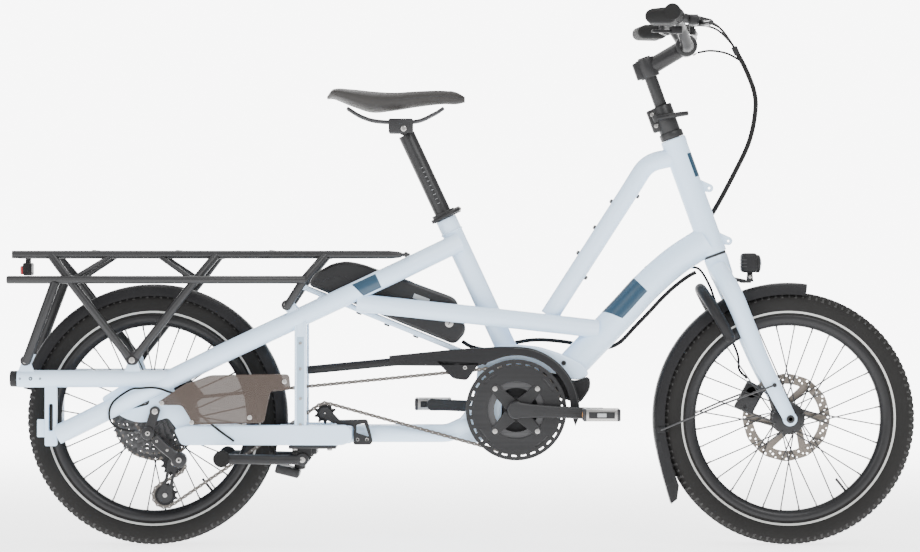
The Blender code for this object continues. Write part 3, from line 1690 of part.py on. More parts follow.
def cable_bundle():
    """The sleeved bundle ahead of the head tube, with the four leads that gather into it."""
    sleeve = flowing(
        [
            (0.5560, 0.0, 1.0110), (0.5780, 0.0, 0.9700), (0.5955, 0.0, 0.9220),
            (0.5970, 0.002, 0.8800), (0.5840, 0.006, 0.8200), (0.5520, 0.014, 0.7520),
            (0.5180, 0.028, 0.6880), (0.4920, 0.038, 0.6480), (0.4730, 0.0405, 0.6260),
        ],
        15,
    )
    leads = {
        "lead_right": [
            (0.4630, -0.1405, 1.0600), (0.4850, -0.1050, 1.0660), (0.5180, -0.0450, 1.0560),
            (0.5450, -0.0060, 1.0280), (0.5600, 0.0, 1.0030),
        ],
        "lead_left": [
            (0.4630, 0.1405, 1.0600), (0.4850, 0.1050, 1.0660), (0.5180, 0.0450, 1.0560),
            (0.5450, 0.0060, 1.0280), (0.5600, 0.0, 1.0030),
        ],
        "lead_display": [
            (0.5080, 0.0, 1.0640), (0.5280, 0.0, 1.0520), (0.5500, 0.0, 1.0220), (0.5600, 0.0, 1.0030),
        ],
        "lead_stem": [
            (0.4790, -0.0060, 1.0040), (0.5060, -0.0050, 1.0080), (0.5380, -0.0020, 1.0030),
            (0.5640, 0.0, 0.9900),
        ],
    }
    pieces = [bar("cable_bundle", sleeve, 0.0048, BLACK_RUBBER, 6)]
    pieces += [bar(name, flowing(route, 7), 0.0022, BLACK_RUBBER, 4) for name, route in leads.items()]
    return fuse("cable_bundle", pieces)


def front_brake_hose():
    route = [
        (0.4600, 0.0340, 0.5660), (0.4850, 0.0420, 0.5620), (0.5060, 0.0520, 0.5300),
        (0.5200, 0.0680, 0.4950), (0.5440, 0.0800, 0.4400), (0.5660, 0.0720, 0.3860),
        (0.5680, 0.0560, 0.3560), (0.5830, 0.0440, 0.3380),
    ]
    return bar("front_brake_hose", flowing(route, 18), 0.0025, BLACK_RUBBER, 6)


def wiring_loom():
    """The hose from the battery, over the motor and along the underside of the down tube."""
    route = [
        (0.0000, 0.0300, 0.4130), (0.0200, 0.0480, 0.4020), (0.0600, 0.0500, 0.3960),
        (0.0950, 0.0480, 0.4080), (0.1500, 0.0460, 0.4170), (0.2150, 0.0440, 0.4120),
        (0.2700, 0.0420, 0.4000), (0.3150, 0.0280, 0.4080), (0.3530, 0.0050, 0.4460),
        (0.3795, 0.0, 0.4735), (0.4050, 0.0, 0.5010), (0.4310, 0.0, 0.5255), (0.4580, 0.0, 0.5460),
        (0.4760, 0.0, 0.5560),
    ]
    return bar("wiring_loom", flowing(route, 26), 0.0045, BLACK_RUBBER, 6)


def shift_cable():
    route = [
        (-0.4630, -0.0940, 0.2140), (-0.4960, -0.0940, 0.2380), (-0.5280, -0.0940, 0.2650),
        (-0.5766, -0.0937, 0.3060), (-0.5950, -0.0955, 0.3140), (-0.6080, -0.1008, 0.3190),
        (-0.6250, -0.1042, 0.3225), (-0.6500, -0.1042, 0.3215), (-0.6730, -0.1040, 0.3180),
        (-0.7077, -0.1040, 0.2920), (-0.7140, -0.1000, 0.2600), (-0.6950, -0.0960, 0.2400),
        (-0.6560, -0.0940, 0.2330),
    ]
    return bar("shift_cable", flowing(route, 24), 0.0022, BLACK_RUBBER, 6)


# Battery and stand


def battery():
    outline = [
        (-0.316, 0.5295), (-0.303, 0.5530), (-0.266, 0.5740), (-0.237, 0.5790), (-0.205, 0.5730),
        (-0.014, 0.5030), (0.008, 0.4360), (-0.016, 0.4075),
    ]
    return plate("battery", outline, 0.0, 0.077, BLACK_PLASTIC, 0.006)


def kickstand_mount():
    """The plate bolted under the stays, with the housing that the stand turns in."""
    top = block("kickstand_mount", (-0.305, 0.0, 0.2015), (0.096, 0.170, 0.0070), BLACK_METAL)
    housing = block("stand_housing", (-0.322, 0.0, 0.1920), (0.050, 0.110, 0.0130), BLACK_METAL)
    cheeks = [
        block("stand_cheek_%d" % k, (-0.322, k * 0.0655, 0.1840), (0.030, 0.006, 0.0340), BLACK_METAL)
        for k in (-1, 1)
    ]
    body = fuse("kickstand_mount", [top, housing] + cheeks)
    bore = rod(
        "stand_bore",
        STAND_PIVOT - Vector((0, 0.1, 0)),
        STAND_PIVOT + Vector((0, 0.1, 0)),
        0.0070,
        BLACK_METAL,
        16,
    )
    return cut(body, [bore])


def kickstand():
    """Two splayed legs on one cross shaft, folded back beside the wheel."""
    pieces = [
        rod(
            "kickstand",
            STAND_PIVOT - Vector((0, 0.084, 0)),
            STAND_PIVOT + Vector((0, 0.084, 0)),
            0.0064,
            BLACK_METAL,
            16,
        )
    ]
    pieces.append(
        block(
            "stand_brace",
            STAND_PIVOT + Vector((-0.032, 0.0, -0.025)),
            (0.050, 0.108, 0.018),
            BLACK_METAL,
            pitch=math.radians(14),
        )
    )
    pieces.append(
        block("stand_web", STAND_PIVOT + Vector((-0.008, 0.0, -0.010)), (0.022, 0.050, 0.024), BLACK_METAL)
    )
    for side in (-1, 1):
        tag = "right" if side < 0 else "left"
        leg = [
            at_side(STAND_PIVOT + Vector(p), side)
            for p in ((0.0, 0.078, 0.0), (-0.070, 0.096, 0.001), (-0.160, 0.108, 0.003))
        ]
        foot = STAND_PIVOT + Vector((-0.162, 0.0, 0.003))
        pieces.append(bar("stand_leg_" + tag, leg, 0.0100, BLACK_METAL, 8))
        pieces.append(
            rod(
                "stand_knee_" + tag,
                STAND_PIVOT + Vector((0, side * 0.0690, 0)),
                STAND_PIVOT + Vector((0, side * 0.0885, 0)),
                0.0125,
                BLACK_METAL,
                12,
            )
        )
        pieces.append(
            rod(
                "stand_foot_" + tag,
                (foot.x, side * 0.098, foot.z),
                (foot.x, side * 0.124, foot.z),
                0.0170,
                BLACK_RUBBER,
                12,
            )
        )
    return joint("stand_axis", STAND_PIVOT, [fuse("kickstand", pieces)])


def build():
    main_frame()
    battery()
    front_wheel()
    rear_wheel()
    drive_motor()
    cranks()
    cassette()
    chain()
    idler()
    derailleur()
    chain_guard()
    chain_plate()
    rear_rack()
    tail_light()
    rear_fender()
    through_axle("rear_axle", REAR_AXLE, 0.0808, 0.0818, (1,))
    caliper("rear_caliper", Vector((-0.5655, 0.0480, 0.3126)), math.radians(-40), -1)
    wiring_loom()
    shift_cable()
    kickstand_mount()
    kickstand()
    seat()
    fork()
    front_fender()
    headlight_bracket()
    headlight()
    caliper("front_caliper", Vector((0.5880, 0.0385, 0.2980)), math.radians(28), 1)
    through_axle("front_axle", FRONT_AXLE, 0.0785, 0.0785, (-1, 1))
    ring_lock()
    lock_shackle()
    front_brake_hose()
    joint(
        "bar_turn_axis",
        BAR_TURN,
        [stem(), handlebar(), grip("right_grip", -1), grip("left_grip", 1), display()],
    )
    turn_lever()
    for name, side in (("right_brake", -1), ("left_brake", 1)):
        brake_body(name + "_body", side)
        brake_lever(name + "_lever", side)
    shift_lever()
    cable_bundle()


build()
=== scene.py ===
"""Looks of the longtail cargo bicycle. +X is forward, +Y the rider's left, +Z up, in metres."""

import math

import bmesh
import bpy
from mathutils import Matrix, Vector


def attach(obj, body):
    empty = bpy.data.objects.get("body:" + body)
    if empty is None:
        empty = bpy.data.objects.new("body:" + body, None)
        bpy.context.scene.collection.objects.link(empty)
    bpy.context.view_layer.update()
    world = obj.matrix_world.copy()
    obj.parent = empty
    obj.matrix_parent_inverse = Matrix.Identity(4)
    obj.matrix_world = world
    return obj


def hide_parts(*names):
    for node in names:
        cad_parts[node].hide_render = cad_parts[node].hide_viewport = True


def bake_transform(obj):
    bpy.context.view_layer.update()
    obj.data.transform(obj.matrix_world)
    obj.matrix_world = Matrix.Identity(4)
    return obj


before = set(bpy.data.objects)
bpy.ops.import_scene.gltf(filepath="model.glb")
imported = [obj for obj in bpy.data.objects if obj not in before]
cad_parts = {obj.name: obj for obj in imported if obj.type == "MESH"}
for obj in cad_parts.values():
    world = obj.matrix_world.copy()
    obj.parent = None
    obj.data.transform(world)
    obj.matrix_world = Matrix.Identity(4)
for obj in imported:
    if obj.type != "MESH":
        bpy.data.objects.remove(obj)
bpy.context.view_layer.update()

WHEEL_RADIUS = 0.258
FRONT_AXLE = Vector((0.6634, 0.0, WHEEL_RADIUS))
REAR_AXLE = Vector((-0.6306, 0.0, WHEEL_RADIUS))
HEAD_TOP = Vector((0.4288, 0.0, 0.8281))
HEAD_BOTTOM = Vector((0.5151, 0.0, 0.5889))
HEAD_AXIS = (HEAD_TOP - HEAD_BOTTOM).normalized()
HEAD_R = 0.0255
SEAT_FOOT = Vector((0.0741, 0.0, 0.432))
SEAT_AXIS = Vector((-0.4242, 0.0, 0.9056)).normalized()
CRANK = Vector((0.108, 0.0, 0.276))
CRANK_HUB = (CRANK.x, CRANK.z)
RIGHT_EYE = Vector((0.27786, 0.0, 0.26918))
LEFT_EYE = Vector((-0.06186, 0.0, 0.28282))
SPOKES = 32
FIRST_SPOKE = math.radians(7)
PITCH = 0.0127
CHAIN_Y = -0.052
STAY_Y = 0.08
BAR_CLAMP = Vector((0.4556, 0.0, 1.0179))
STAND_PIVOT = Vector((-0.325, 0.0, 0.176))
SADDLE_PIVOT = SEAT_FOOT + 0.4594 * SEAT_AXIS
IDLER = Vector((-0.28, CHAIN_Y, 0.27))
GUIDE = Vector((-0.588, CHAIN_Y, 0.168))
TENSION = Vector((-0.605, CHAIN_Y, 0.103))
HANGER = Vector((-0.623, -0.0895, 0.274))
FOOT = Vector((-0.637, -0.088, 0.23))
KNUCKLE = Vector((-0.574, 0.0, 0.176))
Y = Vector((0.0, 1.0, 0.0))
CAMERA_PLACE = (-0.0061, -8.7, 0.548)
CAMERA_LENS = 166.6


# Materials


def worn_edges(tree, tint, colour, wear):
    """The tint made paler where the surface is sharply convex."""
    nodes, links = tree.nodes, tree.links
    edge = nodes.new("ShaderNodeNewGeometry")
    ramp = nodes.new("ShaderNodeValToRGB")
    ramp.color_ramp.elements[0].position = 0.52
    ramp.color_ramp.elements[1].position = 0.6
    amount = nodes.new("ShaderNodeMath")
    amount.operation = "MULTIPLY"
    amount.inputs[1].default_value = wear
    worn = nodes.new("ShaderNodeMix")
    worn.data_type = "RGBA"
    worn.inputs["B"].default_value = (*[min(1.0, c * 1.5 + 0.1) for c in colour], 1.0)
    links.new(edge.outputs["Pointiness"], ramp.inputs["Fac"])
    links.new(ramp.outputs["Color"], amount.inputs[0])
    links.new(amount.outputs["Value"], worn.inputs["Factor"])
    links.new(tint.outputs["Result"], worn.inputs["A"])
    return worn


def look(
    name, colour, rough, metal=0.0, vary=0.1, grain=60.0, bump=0.05, coat=0.0, wear=0.0, alpha=1.0,
    shine=0.5,
):
    """A Principled material with mottled colour, uneven roughness, fine bump and worn edges."""
    made = bpy.data.materials.new(name)
    made.use_nodes = True
    tree = made.node_tree
    nodes, links = tree.nodes, tree.links
    shader = nodes["Principled BSDF"]
    shader.inputs["Metallic"].default_value = metal
    shader.inputs["Coat Weight"].default_value = coat
    shader.inputs["Coat Roughness"].default_value = 0.12
    shader.inputs["Alpha"].default_value = alpha
    shader.inputs["Specular IOR Level"].default_value = shine
    place = nodes.new("ShaderNodeTexCoord")
    cloud = nodes.new("ShaderNodeTexNoise")
    cloud.inputs["Scale"].default_value = 9.0
    cloud.inputs["Detail"].default_value = 6.0
    fine = nodes.new("ShaderNodeTexNoise")
    fine.inputs["Scale"].default_value = grain * 8
    fine.inputs["Detail"].default_value = 3.0
    links.new(place.outputs["Object"], cloud.inputs["Vector"])
    links.new(place.outputs["Object"], fine.inputs["Vector"])
    tint = nodes.new("ShaderNodeMix")
    tint.data_type = "RGBA"
    tint.inputs["A"].default_value = (*[c * (1 - vary) for c in colour], 1.0)
    tint.inputs["B"].default_value = (*[min(1.0, c * (1 + vary)) for c in colour], 1.0)
    links.new(cloud.outputs["Fac"], tint.inputs["Factor"])
    surface = worn_edges(tree, tint, colour, wear) if wear else tint
    links.new(surface.outputs["Result"], shader.inputs["Base Color"])
    uneven = nodes.new("ShaderNodeMapRange")
    uneven.inputs["To Min"].default_value = max(0.02, rough - 0.07)
    uneven.inputs["To Max"].default_value = min(1.0, rough + 0.09)
    links.new(cloud.outputs["Fac"], uneven.inputs["Value"])
    links.new(uneven.outputs["Result"], shader.inputs["Roughness"])
    relief = nodes.new("ShaderNodeBump")
    relief.inputs["Strength"].default_value = bump
    relief.inputs["Distance"].default_value = 0.001
    links.new(fine.outputs["Fac"], relief.inputs["Height"])
    links.new(relief.outputs["Normal"], shader.inputs["Normal"])
    return made


PAINT = look("frame_paint", (0.6, 0.77, 0.96), 0.34, vary=0.02, bump=0.03, coat=0.25, wear=0.12)
# A darker copy of the frame paint: painted shade, laid in the strut's slot where shade falls.
PAINTED_SHADE = look("slot_painted_shade", (0.34, 0.47, 0.6), 0.45, vary=0.05, coat=0.1)
DECAL = look("decal_blue", (0.007, 0.038, 0.072), 0.38, vary=0.08, coat=0.15)
BLACK = look("black_metal", (0.01, 0.01, 0.011), 0.42, 0.0, vary=0.2, bump=0.08, wear=0.25, shine=0.25)
SATIN = look(
    "black_satin", (0.01, 0.01, 0.011), 0.36, 0.0, vary=0.15, bump=0.04, coat=0.05, wear=0.18,
    shine=0.28,
)
PLASTIC = look(
    "black_plastic", (0.008, 0.008, 0.009), 0.5, vary=0.15, grain=90, bump=0.18, wear=0.1, shine=0.2,
)
RUBBER = look("black_rubber", (0.009, 0.009, 0.009), 0.72, vary=0.2, grain=120, bump=0.25, shine=0.18)
TYRE = look(
    "tyre_rubber", (0.015, 0.0146, 0.0142), 0.8, vary=0.22, grain=110, bump=0.35, wear=0.25, shine=0.15,
)
REFLEX = look("tyre_line", (0.5, 0.5, 0.48), 0.4, 0.2, vary=0.12, bump=0.1)
STEEL = look("steel", (0.36, 0.35, 0.34), 0.28, 1.0, vary=0.12, grain=150, bump=0.06, wear=0.2)
DISC = look("disc_steel", (0.125, 0.108, 0.092), 0.3, 1.0, vary=0.15, grain=150, bump=0.1, wear=0.4)
DARK_STEEL = look(
    "dark_steel", (0.035, 0.035, 0.037), 0.34, 0.8, vary=0.2, grain=150, bump=0.06, wear=0.3, shine=0.4,
)
CHAIN = look("chain_steel", (0.042, 0.035, 0.029), 0.34, 0.9, vary=0.35, grain=150, bump=0.1, wear=0.5)
SMOKED = look("smoked_plastic", (0.05, 0.034, 0.026), 0.2, vary=0.08, bump=0.02, coat=0.1, alpha=0.86)
SKIN = look(
    "saddle_skin", (0.024, 0.022, 0.021), 0.55, vary=0.14, grain=100, bump=0.45, wear=0.1, shine=0.28,
)
RED = look("red_lens", (0.42, 0.01, 0.014), 0.12, vary=0.1, coat=0.5)
AMBER = look("amber_lens", (0.75, 0.28, 0.03), 0.18, vary=0.1, coat=0.5)
GLASS = look("lamp_glass", (0.2, 0.22, 0.24), 0.08, 0.3, vary=0.1, coat=0.8)
SCREEN = look("screen_glass", (0.008, 0.009, 0.011), 0.1, vary=0.1, coat=0.8)
LABEL = look("pale_label", (0.34, 0.35, 0.36), 0.45, vary=0.05)


# Shapes


class Shape:
    """Faces gathered for one piece, with the look of each."""

    def __init__(self):
        self.points = []
        self.faces = []
        self.marks = []
        self.looks = []

    def add(self, solid, finish):
        points, faces = solid
        base = len(self.points)
        if finish not in self.looks:
            self.looks.append(finish)
        self.points += [tuple(point) for point in points]
        self.faces += [tuple(base + corner for corner in face) for face in faces]
        self.marks += [self.looks.index(finish)] * len(faces)
        return self

    def place(self, name, body, nodes=(), slot=None, angle=38):
        mesh = bpy.data.meshes.new(name)
        mesh.from_pydata(self.points, [], self.faces)
        for finish in self.looks:
            mesh.materials.append(finish)
        mesh.polygons.foreach_set("material_index", self.marks)
        mesh.shade_smooth()
        mesh.set_sharp_from_angle(angle=math.radians(angle))
        piece = bpy.data.objects.new(name, mesh)
        bpy.context.scene.collection.objects.link(piece)
        if body:
            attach(piece, body)
        if nodes:
            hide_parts(*nodes)
        return piece


def ring_faces(rings, count, closed=False):
    faces = []
    spans = rings if closed else rings - 1
    for ring in range(spans):
        after = (ring + 1) % rings
        for step in range(count):
            following = (step + 1) % count
            faces.append(
                (
                    ring * count + step, ring * count + following, after * count + following,
                    after * count + step,
                )
            )
    return faces


def tube(path, radius, sides=20, flat=1.0, cap=True):
    """A round or oval tube along a path. The radius may be one number or one for each point."""
    path = [Vector(point) for point in path]
    radii = radius if isinstance(radius, (list, tuple)) else [radius] * len(path)
    heading = (path[1] - path[0]).normalized()
    across = heading.cross(Y)
    if across.length < 0.1:
        across = heading.cross(Vector((0, 0, 1)))
    across.normalize()
    points = []
    for index, here in enumerate(path):
        before = path[max(0, index - 1)]
        after = path[min(len(path) - 1, index + 1)]
        ahead = (after - before).normalized()
        across = (across - across.dot(ahead) * ahead).normalized()
        over = ahead.cross(across)
        for step in range(sides):
            turn = math.tau * step / sides
            points.append(here + radii[index] * (math.cos(turn) * across + flat * math.sin(turn) * over))
    faces = ring_faces(len(path), sides)
    if cap:
        faces.append(tuple(range(sides))[::-1])
        faces.append(tuple((len(path) - 1) * sides + step for step in range(sides)))
    return points, faces


def lathe(origin, axis, profile, steps=48, spin=0.0, closed=False):
    """A surface turned about an axis, from (radius, distance along) points."""
    axis = Vector(axis).normalized()
    side = axis.cross(Vector((0, 0, 1)))
    if side.length < 0.1:
        side = axis.cross(Vector((1, 0, 0)))
    side.normalize()
    up = axis.cross(side)
    points = []
    for radius, along in profile:
        for step in range(steps):
            turn = math.tau * step / steps + spin
            points.append(
                Vector(origin) + along * axis + radius * (math.cos(turn) * side + math.sin(turn) * up)
            )
    faces = ring_faces(len(profile), steps, closed)
    if not closed:
        faces.append(tuple(range(steps))[::-1])
        faces.append(tuple((len(profile) - 1) * steps + step for step in range(steps)))
    return points, faces


def rod(start, end, radius, sides=28, edge=0.0012, end_radius=None):
    """A straight round bar with chamfered ends."""
    start, end = Vector(start), Vector(end)
    last = radius if end_radius is None else end_radius
    length = (end - start).length
    edge = min(edge, 0.3 * length, 0.6 * radius)
    profile = [(radius - edge, 0), (radius - 0.3 * edge, 0.3 * edge), (radius, edge), (last, length - edge)]
    profile += [(last - 0.3 * edge, length - 0.3 * edge), (last - edge, length)]
    return lathe(start, end - start, profile, sides)


def hollow(start, end, outer, inner, sides=40, edge=0.0008):
    start, end = Vector(start), Vector(end)
    length = (end - start).length
    profile = [(inner, edge), (inner + edge, 0), (outer - edge, 0), (outer, edge), (outer, length - edge)]
    profile += [(outer - edge, length), (inner + edge, length), (inner, length - edge)]
    return lathe(start, end - start, profile, sides, closed=True)


def from_bmesh(shape):
    shape.verts.index_update()
    points = [vert.co.copy() for vert in shape.verts]
    faces = [tuple(vert.index for vert in face.verts) for face in shape.faces]
    shape.free()
    return points, faces


def box(centre, size, pitch=0.0, yaw=0.0, edge=0.0015, roll=0.0, segments=3):
    shape = bmesh.new()
    bmesh.ops.create_cube(shape, size=1.0)
    bmesh.ops.scale(shape, vec=size, verts=shape.verts)
    edge = min(edge, 0.45 * min(size))
    bmesh.ops.bevel(shape, geom=shape.edges[:], offset=edge, segments=segments, profile=0.5, affect="EDGES")
    turn = Matrix.Rotation(yaw, 4, "Z") @ Matrix.Rotation(pitch, 4, "Y") @ Matrix.Rotation(roll, 4, "X")
    shape.transform(Matrix.Translation(centre) @ turn)
    return from_bmesh(shape)


def sheet(outlines, y, thickness, edge=0.0, matrix=None):
    """A flat plate in the XZ plane. The first outline is its edge and the others are holes."""
    curve = bpy.data.curves.new("outline", "CURVE")
    curve.dimensions = "2D"
    curve.fill_mode = "BOTH"
    curve.extrude = thickness / 2 - edge
    curve.bevel_depth = edge
    curve.bevel_resolution = 1
    curve.offset = -edge
    for outline in outlines:
        spline = curve.splines.new("POLY")
        spline.points.add(len(outline) - 1)
        for index, (x, z) in enumerate(outline):
            spline.points[index].co = (x, z, 0.0, 1.0)
        spline.use_cyclic_u = True
    holder = bpy.data.objects.new("outline", curve)
    mesh = bpy.data.meshes.new_from_object(holder)
    mesh.transform(
        (matrix or Matrix.Identity(4)) @ Matrix.Translation((0, y, 0)) @ Matrix.Rotation(math.pi / 2, 4, "X")
    )
    points = [vert.co.copy() for vert in mesh.vertices]
    faces = [tuple(face.vertices) for face in mesh.polygons]
    bpy.data.objects.remove(holder)
    bpy.data.curves.remove(curve)
    bpy.data.meshes.remove(mesh)
    return points, faces


def circle(x, z, radius, steps=24, start=0.0):
    return [
        (
            x + radius * math.cos(start + math.tau * k / steps),
            z + radius * math.sin(start + math.tau * k / steps),
        )
        for k in range(steps)
    ]


def arc(centre, radius, start, end, steps):
    turns = [math.radians(start + (end - start) * k / steps) for k in range(steps + 1)]
    return [(centre[0] + radius * math.cos(turn), centre[1] + radius * math.sin(turn)) for turn in turns]


def rounded(outline, radius, steps=4):
    """The outline with each corner made an arc."""
    corners = [Vector((x, 0.0, z)) for x, z in outline]
    path = []
    for index, here in enumerate(corners):
        before = corners[index - 1]
        after = corners[(index + 1) % len(corners)]
        reach = min(radius, 0.45 * (before - here).length, 0.45 * (after - here).length)
        start = here + (before - here).normalized() * reach
        end = here + (after - here).normalized() * reach
        for step in range(steps + 1):
            t = step / steps
            spot = start.lerp(here, t).lerp(here.lerp(end, t), t)
            path.append((spot.x, spot.z))
    return path


def bent(points, radius, steps=8):
    """The corners of a bent tube, with each inner corner made an arc."""
    corners = [Vector(point) for point in points]
    path = [corners[0]]
    for before, here, after in zip(corners, corners[1:], corners[2:]):
        back = (before - here).normalized()
        ahead = (after - here).normalized()
        half = back.angle(ahead) / 2
        reach = min(radius / math.tan(half), 0.49 * (before - here).length, 0.49 * (after - here).length)
        start, end = here + back * reach, here + ahead * reach
        for step in range(steps + 1):
            t = step / steps
            path.append(start.lerp(here, t).lerp(here.lerp(end, t), t))
    path.append(corners[-1])
    return path


def flowing(points, count):
    """Points along a smooth curve through the route's own points."""
    route = [Vector(point) for point in points]
    route = [2 * route[0] - route[1]] + route + [2 * route[-1] - route[-2]]
    spans = len(route) - 3
    path = []
    for index in range(count):
        along = min(index / (count - 1) * spans, spans - 1e-6)
        span = int(along)
        t = along - span
        a, b, c, d = route[span : span + 4]
        path.append(
            0.5 * (
                2 * b + (c - a) * t + (2 * a - 5 * b + 4 * c - d) * t * t + (3 * b - a - 3 * c + d) * t**3
            )
        )
    return path


def above_head(distance):
    """A point on the steering axis, that far above the head tube."""
    return HEAD_TOP + distance * HEAD_AXIS


def ray(turn):
    """The unit vector at an angle in the XZ plane."""
    return Vector((math.cos(turn), 0, math.sin(turn)))


def square_to(ahead):
    return Vector((-ahead.z, 0, ahead.x))


def flat(points):
    return [(point.x, point.z) for point in points]


def at_side(point, side):
    return Vector((point[0], point[1] * side, point[2]))


def on_side(points, side):
    return [at_side(point, side) for point in points]


def bolt(spot, axis, radius=0.0045, height=0.0035):
    """A socket-head bolt, seen from its head."""
    r, h = radius, height
    profile = [(r, 0), (r, 0.7 * h), (0.8 * r, h), (0.5 * r, h), (0.45 * r, 0.4 * h)]
    return lathe(spot, axis, profile, 18)


def bead(centre, axis, radius, thick=0.0022, steps=40):
    """The ripple of a weld round a tube."""
    profile = [
        (radius + thick * math.cos(t), thick * math.sin(t))
        for t in (k * math.tau / 8 for k in range(8))
    ]
    return lathe(centre, axis, profile, steps, closed=True)


# Wheels


def tyre(tag, axle, body):
    half = [
        (0.2045, 0.0138), (0.209, 0.015), (0.2125, 0.0158), (0.218, 0.0205), (0.224, 0.0243),
        (0.231, 0.0266),
    ]
    half += [
        (0.2375, 0.0272), (0.243, 0.0264), (0.2475, 0.0243), (0.2515, 0.0205), (0.2543, 0.014),
        (0.2552, 0.006),
    ]
    profile = half + [(r, -y) for r, y in reversed(half)]
    made = Shape().add(lathe(axle, Y, profile, 160, closed=True), TYRE)
    for side in (-1, 1):
        made.add(
            lathe(
                axle, Y,
                [
                    (0.2148, side * 0.0186), (0.2158, side * 0.0196), (0.218, side * 0.0215),
                    (0.2188, side * 0.0216), (0.2165, side * 0.019),
                ],
                160, closed=True,
            ),
            REFLEX,
        )
        for step in range(112):
            turn = math.tau * step / 112
            spin = Matrix.Translation(axle) @ Matrix.Rotation(-turn, 4, "Y")
            long = 0.0112 if step % 2 else 0.0085
            outer = box(
                (0.2478, side * 0.0204, 0.0), (long, 0.0052, 0.0086), edge=0.0009, roll=side * 0.3,
                yaw=-side * 0.8, segments=1,
            )
            made.add(([spin @ point for point in outer[0]], outer[1]), TYRE)
            inner = box(
                (0.25495, side * (0.008 + 0.0025 * (step % 2)), 0.003 * side),
                (0.005, 0.0088, 0.0092), edge=0.0008, roll=side * 0.5, segments=1,
            )
            made.add(([spin @ point for point in inner[0]], inner[1]), TYRE)
    made.place(tag + "_tyre_rubber", body, [tag + "_tyre"], "tyre_rubber", 30)


def rim(tag, axle, body):
    half = [
        (0.1885, 0.006), (0.19, 0.0092), (0.196, 0.015), (0.2, 0.0163), (0.2085, 0.0167),
        (0.2098, 0.016), (0.2098, 0.015), (0.204, 0.0142), (0.2015, 0.009),
    ]
    profile = half + [(r, -y) for r, y in reversed(half)]
    made = Shape().add(lathe(axle, Y, profile, 144, closed=True), SATIN)
    for index in range(SPOKES):
        turn = index * math.tau / SPOKES + FIRST_SPOKE
        out = ray(turn)
        made.add(
            rod(
                axle + 0.18 * out + Vector((0, 0.0025 * (1 if index % 2 else -1), 0)),
                axle + 0.1895 * out, 0.0019, 10,
            ),
            STEEL,
        )
    valve = ray(-0.9)
    made.add(rod(axle + 0.158 * valve, axle + 0.19 * valve, 0.0026, 12), BLACK)
    made.place(tag + "_rim_ring", body, [tag + "_rim"], "black_metal")


def spokes(made, axle, flange, flange_y):
    pair = 2 * math.tau / SPOKES
    for index in range(SPOKES):
        side = 1 if index % 2 else -1
        lean = 1 if (index // 2) % 2 else -1
        at_rim = index * math.tau / SPOKES + FIRST_SPOKE
        at_hub = at_rim + lean * 1.5 * pair
        inner = axle + Vector(
            (
                (flange - 0.003) * math.cos(at_hub), side * (flange_y - 0.0012 * lean),
                (flange - 0.003) * math.sin(at_hub),
            )
        )
        outer = axle + Vector((0.1845 * math.cos(at_rim), side * 0.0028, 0.1845 * math.sin(at_rim)))
        made.add(tube([inner, outer], 0.0014, 8), SATIN)
        made.add(rod(inner - Vector((0, 0.004, 0)), inner + Vector((0, 0.004, 0)), 0.0018, 8), DARK_STEEL)


def brake_rotor(made, axle, y, radius=0.09):
    x, z = axle.x, axle.z
    holes = []
    for index in range(36):
        turn = math.tau * index / 36
        reach = (radius - 0.0045, radius - 0.01, radius - 0.0155)[index % 3]
        holes.append(circle(x + reach * math.cos(turn), z + reach * math.sin(turn), 0.0023, 10))
        reach = (radius - 0.013, radius - 0.005, radius - 0.0085)[index % 3]
        spot = turn + math.tau / 72
        holes.append(circle(x + reach * math.cos(spot), z + reach * math.sin(spot), 0.0017, 8))
    for index in range(6):
        start = index * 60
        window = arc(
            (x, z), radius - 0.0215, start + 6, start + 52, 8,
        ) + arc((x, z), 0.034, start + 66, start + 34, 5)
        holes.append(rounded(window, 0.004, 3))
    edge = []
    for step in range(144):
        turn = math.tau * step / 144
        reach = radius - 0.0007 + 0.0007 * math.cos(12 * turn)
        edge.append((x + reach * math.cos(turn), z + reach * math.sin(turn)))
    made.add(sheet([edge] + holes + [circle(x, z, 0.018, 24)], y, 0.0018), DISC)
    made.add(
        lathe(
            axle, Y,
            [
                (0.015, y - 0.0035), (0.0235, y - 0.0035), (0.0245, y + 0.002), (0.02, y + 0.0045),
                (0.015, y + 0.0045),
            ],
            36, closed=True,
        ),
        SATIN,
    )


def hub(tag, axle, body, flange, flange_y, left_end, right_end, rotor_y):
    left = [
        (0.0066, left_end), (0.0125, left_end), (0.014, left_end - 0.0015), (0.014, flange_y + 0.008),
        (0.0165, flange_y + 0.0035),
    ]
    left += [
        (flange - 0.002, flange_y + 0.0022), (flange, flange_y + 0.0012), (flange, flange_y - 0.0012),
        (flange - 0.002, flange_y - 0.0022), (0.019, flange_y - 0.005), (0.015, flange_y - 0.012),
    ]
    right = [(r, -y) for r, y in left]
    right[0:4] = [
        (0.0066, -right_end), (0.0125, -right_end), (0.014, -right_end + 0.0012),
        (0.014, -flange_y - 0.004),
    ]
    made = Shape().add(lathe(axle, Y, left + right[::-1], 48), SATIN)
    spokes(made, axle, flange, flange_y)
    brake_rotor(made, axle, rotor_y)
    made.place(tag + "_hub_and_spokes", body, [tag + "_hub"], "black_metal")


for tag, axle, body in (("front", FRONT_AXLE, "front_wheel"), ("rear", REAR_AXLE, "rear_wheel")):
    tyre(tag, axle, body)
    rim(tag, axle, body)
hub("front", FRONT_AXLE, "front_wheel", 0.033, 0.028, 0.0485, 0.0485, 0.0385)
hub("rear", REAR_AXLE, "rear_wheel", 0.03, 0.017, 0.066, 0.0213, 0.048)


# Frame


